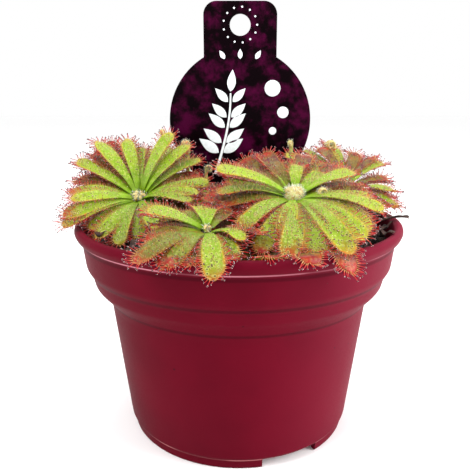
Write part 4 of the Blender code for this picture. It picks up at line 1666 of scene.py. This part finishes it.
def fuzz_tree():
    """Fine hairs on the faces whose "reach" is above 0.3."""
    tree, given = tree_with(
        "fuzz", {"Apart": "Float", "Length": "Float", "Seed": "Int", "Material": "Material"}
    )
    length, seed = given["Length"], given["Seed"]
    points, normal = strewn(given, given["Apart"], 9000000.0, named(tree, "reach").above(0.3))
    hair = primitive(
        tree, "Cone", Vertices=3, Radius_Top=0.0, Radius_Bottom=length * 0.055, Depth=length
    )
    turn = pointing(stray_from(normal, 0.6, seed))
    hairs = placed(points, hair, turn, random_value(tree, 0.6, 1.2, seed + 1))
    close_tree(with_material(smoothed(hairs), given["Material"]))
    return tree


def make_rosettes(leaf, crown, tentacle):
    """Each rosette's blades and crown, in place of its node, and the loose leaves."""
    reach = TIP_GRADE * LONGEST * ((tentacle.rim_length + tentacle.drop) / MM + SPARE)
    draw = random.Random(SEED)
    own = random.Random(SEED + 1)
    finish = leaf_finish(leaf)
    crown_finishes = (bud_finish(crown), stem_finish(crown))
    fuzz = fuzz_tree()
    hairs = {"Apart": crown.hair_apart, "Length": crown.hair, "Seed": 5, "Material": hair_finish()}
    for name, rosette in ROSETTES.items():
        leaves = list(leaves_of(rosette, draw, leaf, reach))
        blades = new_object(f"blades_{name}", blades_mesh(name, leaves))
        blades.data.materials.append(finish)
        hand_over(blades, "sundew_leaf", "rosette_" + name)
        young = make_crown(name, rosette, own, crown_finishes)
        hand_over(young, "sundew_leaf")
        hand_over(grow(young, fuzz, hairs, f"hairs_{name}"), "sundew_leaf")
    tips = make_curled_tips(crown_finishes)
    hand_over(tips, "sundew_leaf")
    hairs.update({"Length": 0.7 * crown.hair, "Seed": 8})
    hand_over(grow(tips, fuzz, hairs, "hairs_curled_tips"), "sundew_leaf")
    hand_over(make_withered(), "sundew_leaf")


# Stage.


def soft_light(name, place, size, power):
    """A round lamp of that width in metres that looks at the aim."""
    lamp = bpy.data.lights.new(name, "AREA")
    lamp.shape = "DISK"
    lamp.size = size
    lamp.energy = power
    made = new_object(name, lamp)
    made.location = place
    made.rotation_euler = (Vector(AIM) - Vector(place)).to_track_quat("-Z", "Y").to_euler()


def make_stage(settings):
    """Pale floor, soft studio light and the camera."""
    scene = bpy.context.scene
    shape = bmesh.new()
    bmesh.ops.create_grid(shape, x_segments=1, y_segments=1, size=FLOOR_HALF_MM)
    finish, tree = new_finish("floor")
    tint = mixed(noise_of(tree, 60.0), settings.floor, shaded(settings.floor, 0.99))
    object_from(shape, "floor", dressed(finish, Base_Color=tint, Roughness=0.9))
    world = bpy.data.worlds.new("studio")
    world.use_nodes = True
    background = world.node_tree.nodes["Background"]
    background.inputs["Color"].default_value = (1, 1, 1, 1)
    background.inputs["Strength"].default_value = 1.0
    scene.world = world
    for name, lamp in LAMPS.items():
        soft_light(name, *lamp)
    lens = bpy.data.cameras.new("camera")
    lens.lens = settings.lens
    lens.sensor_width = 36.0
    lens.clip_start = 0.005
    camera = new_object("camera", lens)
    camera.location = settings.camera
    camera.rotation_euler = (math.pi / 2 - settings.pitch, 0, 0)
    scene.camera = camera
    scene.view_settings.view_transform = "Standard"


# Operators, panel and registration.


class SUNDEW_OT_pot(bpy.types.Operator):
    """Make the nursery pot"""

    bl_idname = "sundew.pot"
    bl_label = "Nursery pot"

    def execute(self, context):
        make_pot(context.scene.sundew_pot)
        return {"FINISHED"}


class SUNDEW_OT_peat(bpy.types.Operator):
    """Make the peat and its crumbs"""

    bl_idname = "sundew.peat"
    bl_label = "Peat"

    def execute(self, context):
        make_peat(context.scene.sundew_peat)
        return {"FINISHED"}


class SUNDEW_OT_label(bpy.types.Operator):
    """Make the plant label and its printed pattern"""

    bl_idname = "sundew.label"
    bl_label = "Plant label"

    def execute(self, context):
        make_label(context.scene.sundew_label)
        return {"FINISHED"}


class SUNDEW_OT_rosettes(bpy.types.Operator):
    """Make the blades and crowns of the rosettes"""

    bl_idname = "sundew.rosettes"
    bl_label = "Rosettes"

    def execute(self, context):
        scene = context.scene
        make_rosettes(scene.sundew_leaf, scene.sundew_crown, scene.sundew_tentacle)
        return {"FINISHED"}


class SUNDEW_OT_tentacles(bpy.types.Operator):
    """Make the tentacles and drops of glue, once the rosettes are there"""

    bl_idname = "sundew.tentacles"
    bl_label = "Tentacles"

    def execute(self, context):
        make_tentacles(context.scene.sundew_tentacle)
        return {"FINISHED"}


class SUNDEW_OT_stage(bpy.types.Operator):
    """Make the floor, the lights and the camera"""

    bl_idname = "sundew.stage"
    bl_label = "Stage"

    def execute(self, context):
        make_stage(context.scene.sundew_stage)
        return {"FINISHED"}


SETTINGS = {
    "sundew_pot": PotSettings,
    "sundew_peat": PeatSettings,
    "sundew_label": LabelSettings,
    "sundew_leaf": LeafSettings,
    "sundew_crown": CrownSettings,
    "sundew_tentacle": TentacleSettings,
    "sundew_stage": StageSettings,
}
# What the panel shows, in the order in which the operators run: settings and the operator below them.
PANEL_ROWS = (
    ("sundew_pot", SUNDEW_OT_pot),
    ("sundew_peat", SUNDEW_OT_peat),
    ("sundew_label", SUNDEW_OT_label),
    ("sundew_leaf", None),
    ("sundew_crown", SUNDEW_OT_rosettes),
    ("sundew_tentacle", SUNDEW_OT_tentacles),
    ("sundew_stage", SUNDEW_OT_stage),
)
OPERATORS = tuple(operator for _, operator in PANEL_ROWS if operator)


class SUNDEW_PT_panel(bpy.types.Panel):
    """The settings and operators, in the 3D view's sidebar"""

    bl_label = "Potted sundew"
    bl_space_type = "VIEW_3D"
    bl_region_type = "UI"
    bl_category = "Sundew"

    def draw(self, context):
        for group, operator in PANEL_ROWS:
            box = self.layout.box()
            settings = getattr(context.scene, group)
            for name in settings.__annotations__:
                box.prop(settings, name)
            if operator:
                box.operator(operator.bl_idname)


def register():
    for kind in (*SETTINGS.values(), *OPERATORS, SUNDEW_PT_panel):
        bpy.utils.register_class(kind)
    for name, kind in SETTINGS.items():
        setattr(bpy.types.Scene, name, PointerProperty(type=kind))


def unregister():
    for name in SETTINGS:
        delattr(bpy.types.Scene, name)
    for kind in (SUNDEW_PT_panel, *reversed(OPERATORS), *reversed(SETTINGS.values())):
        bpy.utils.unregister_class(kind)


def main():
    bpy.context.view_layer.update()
    register()
    bpy.ops.sundew.pot()
    bpy.ops.sundew.peat()
    bpy.ops.sundew.label()
    bpy.ops.sundew.rosettes()
    bpy.ops.sundew.tentacles()
    bpy.ops.sundew.stage()


if __name__ == "__main__":
    main()
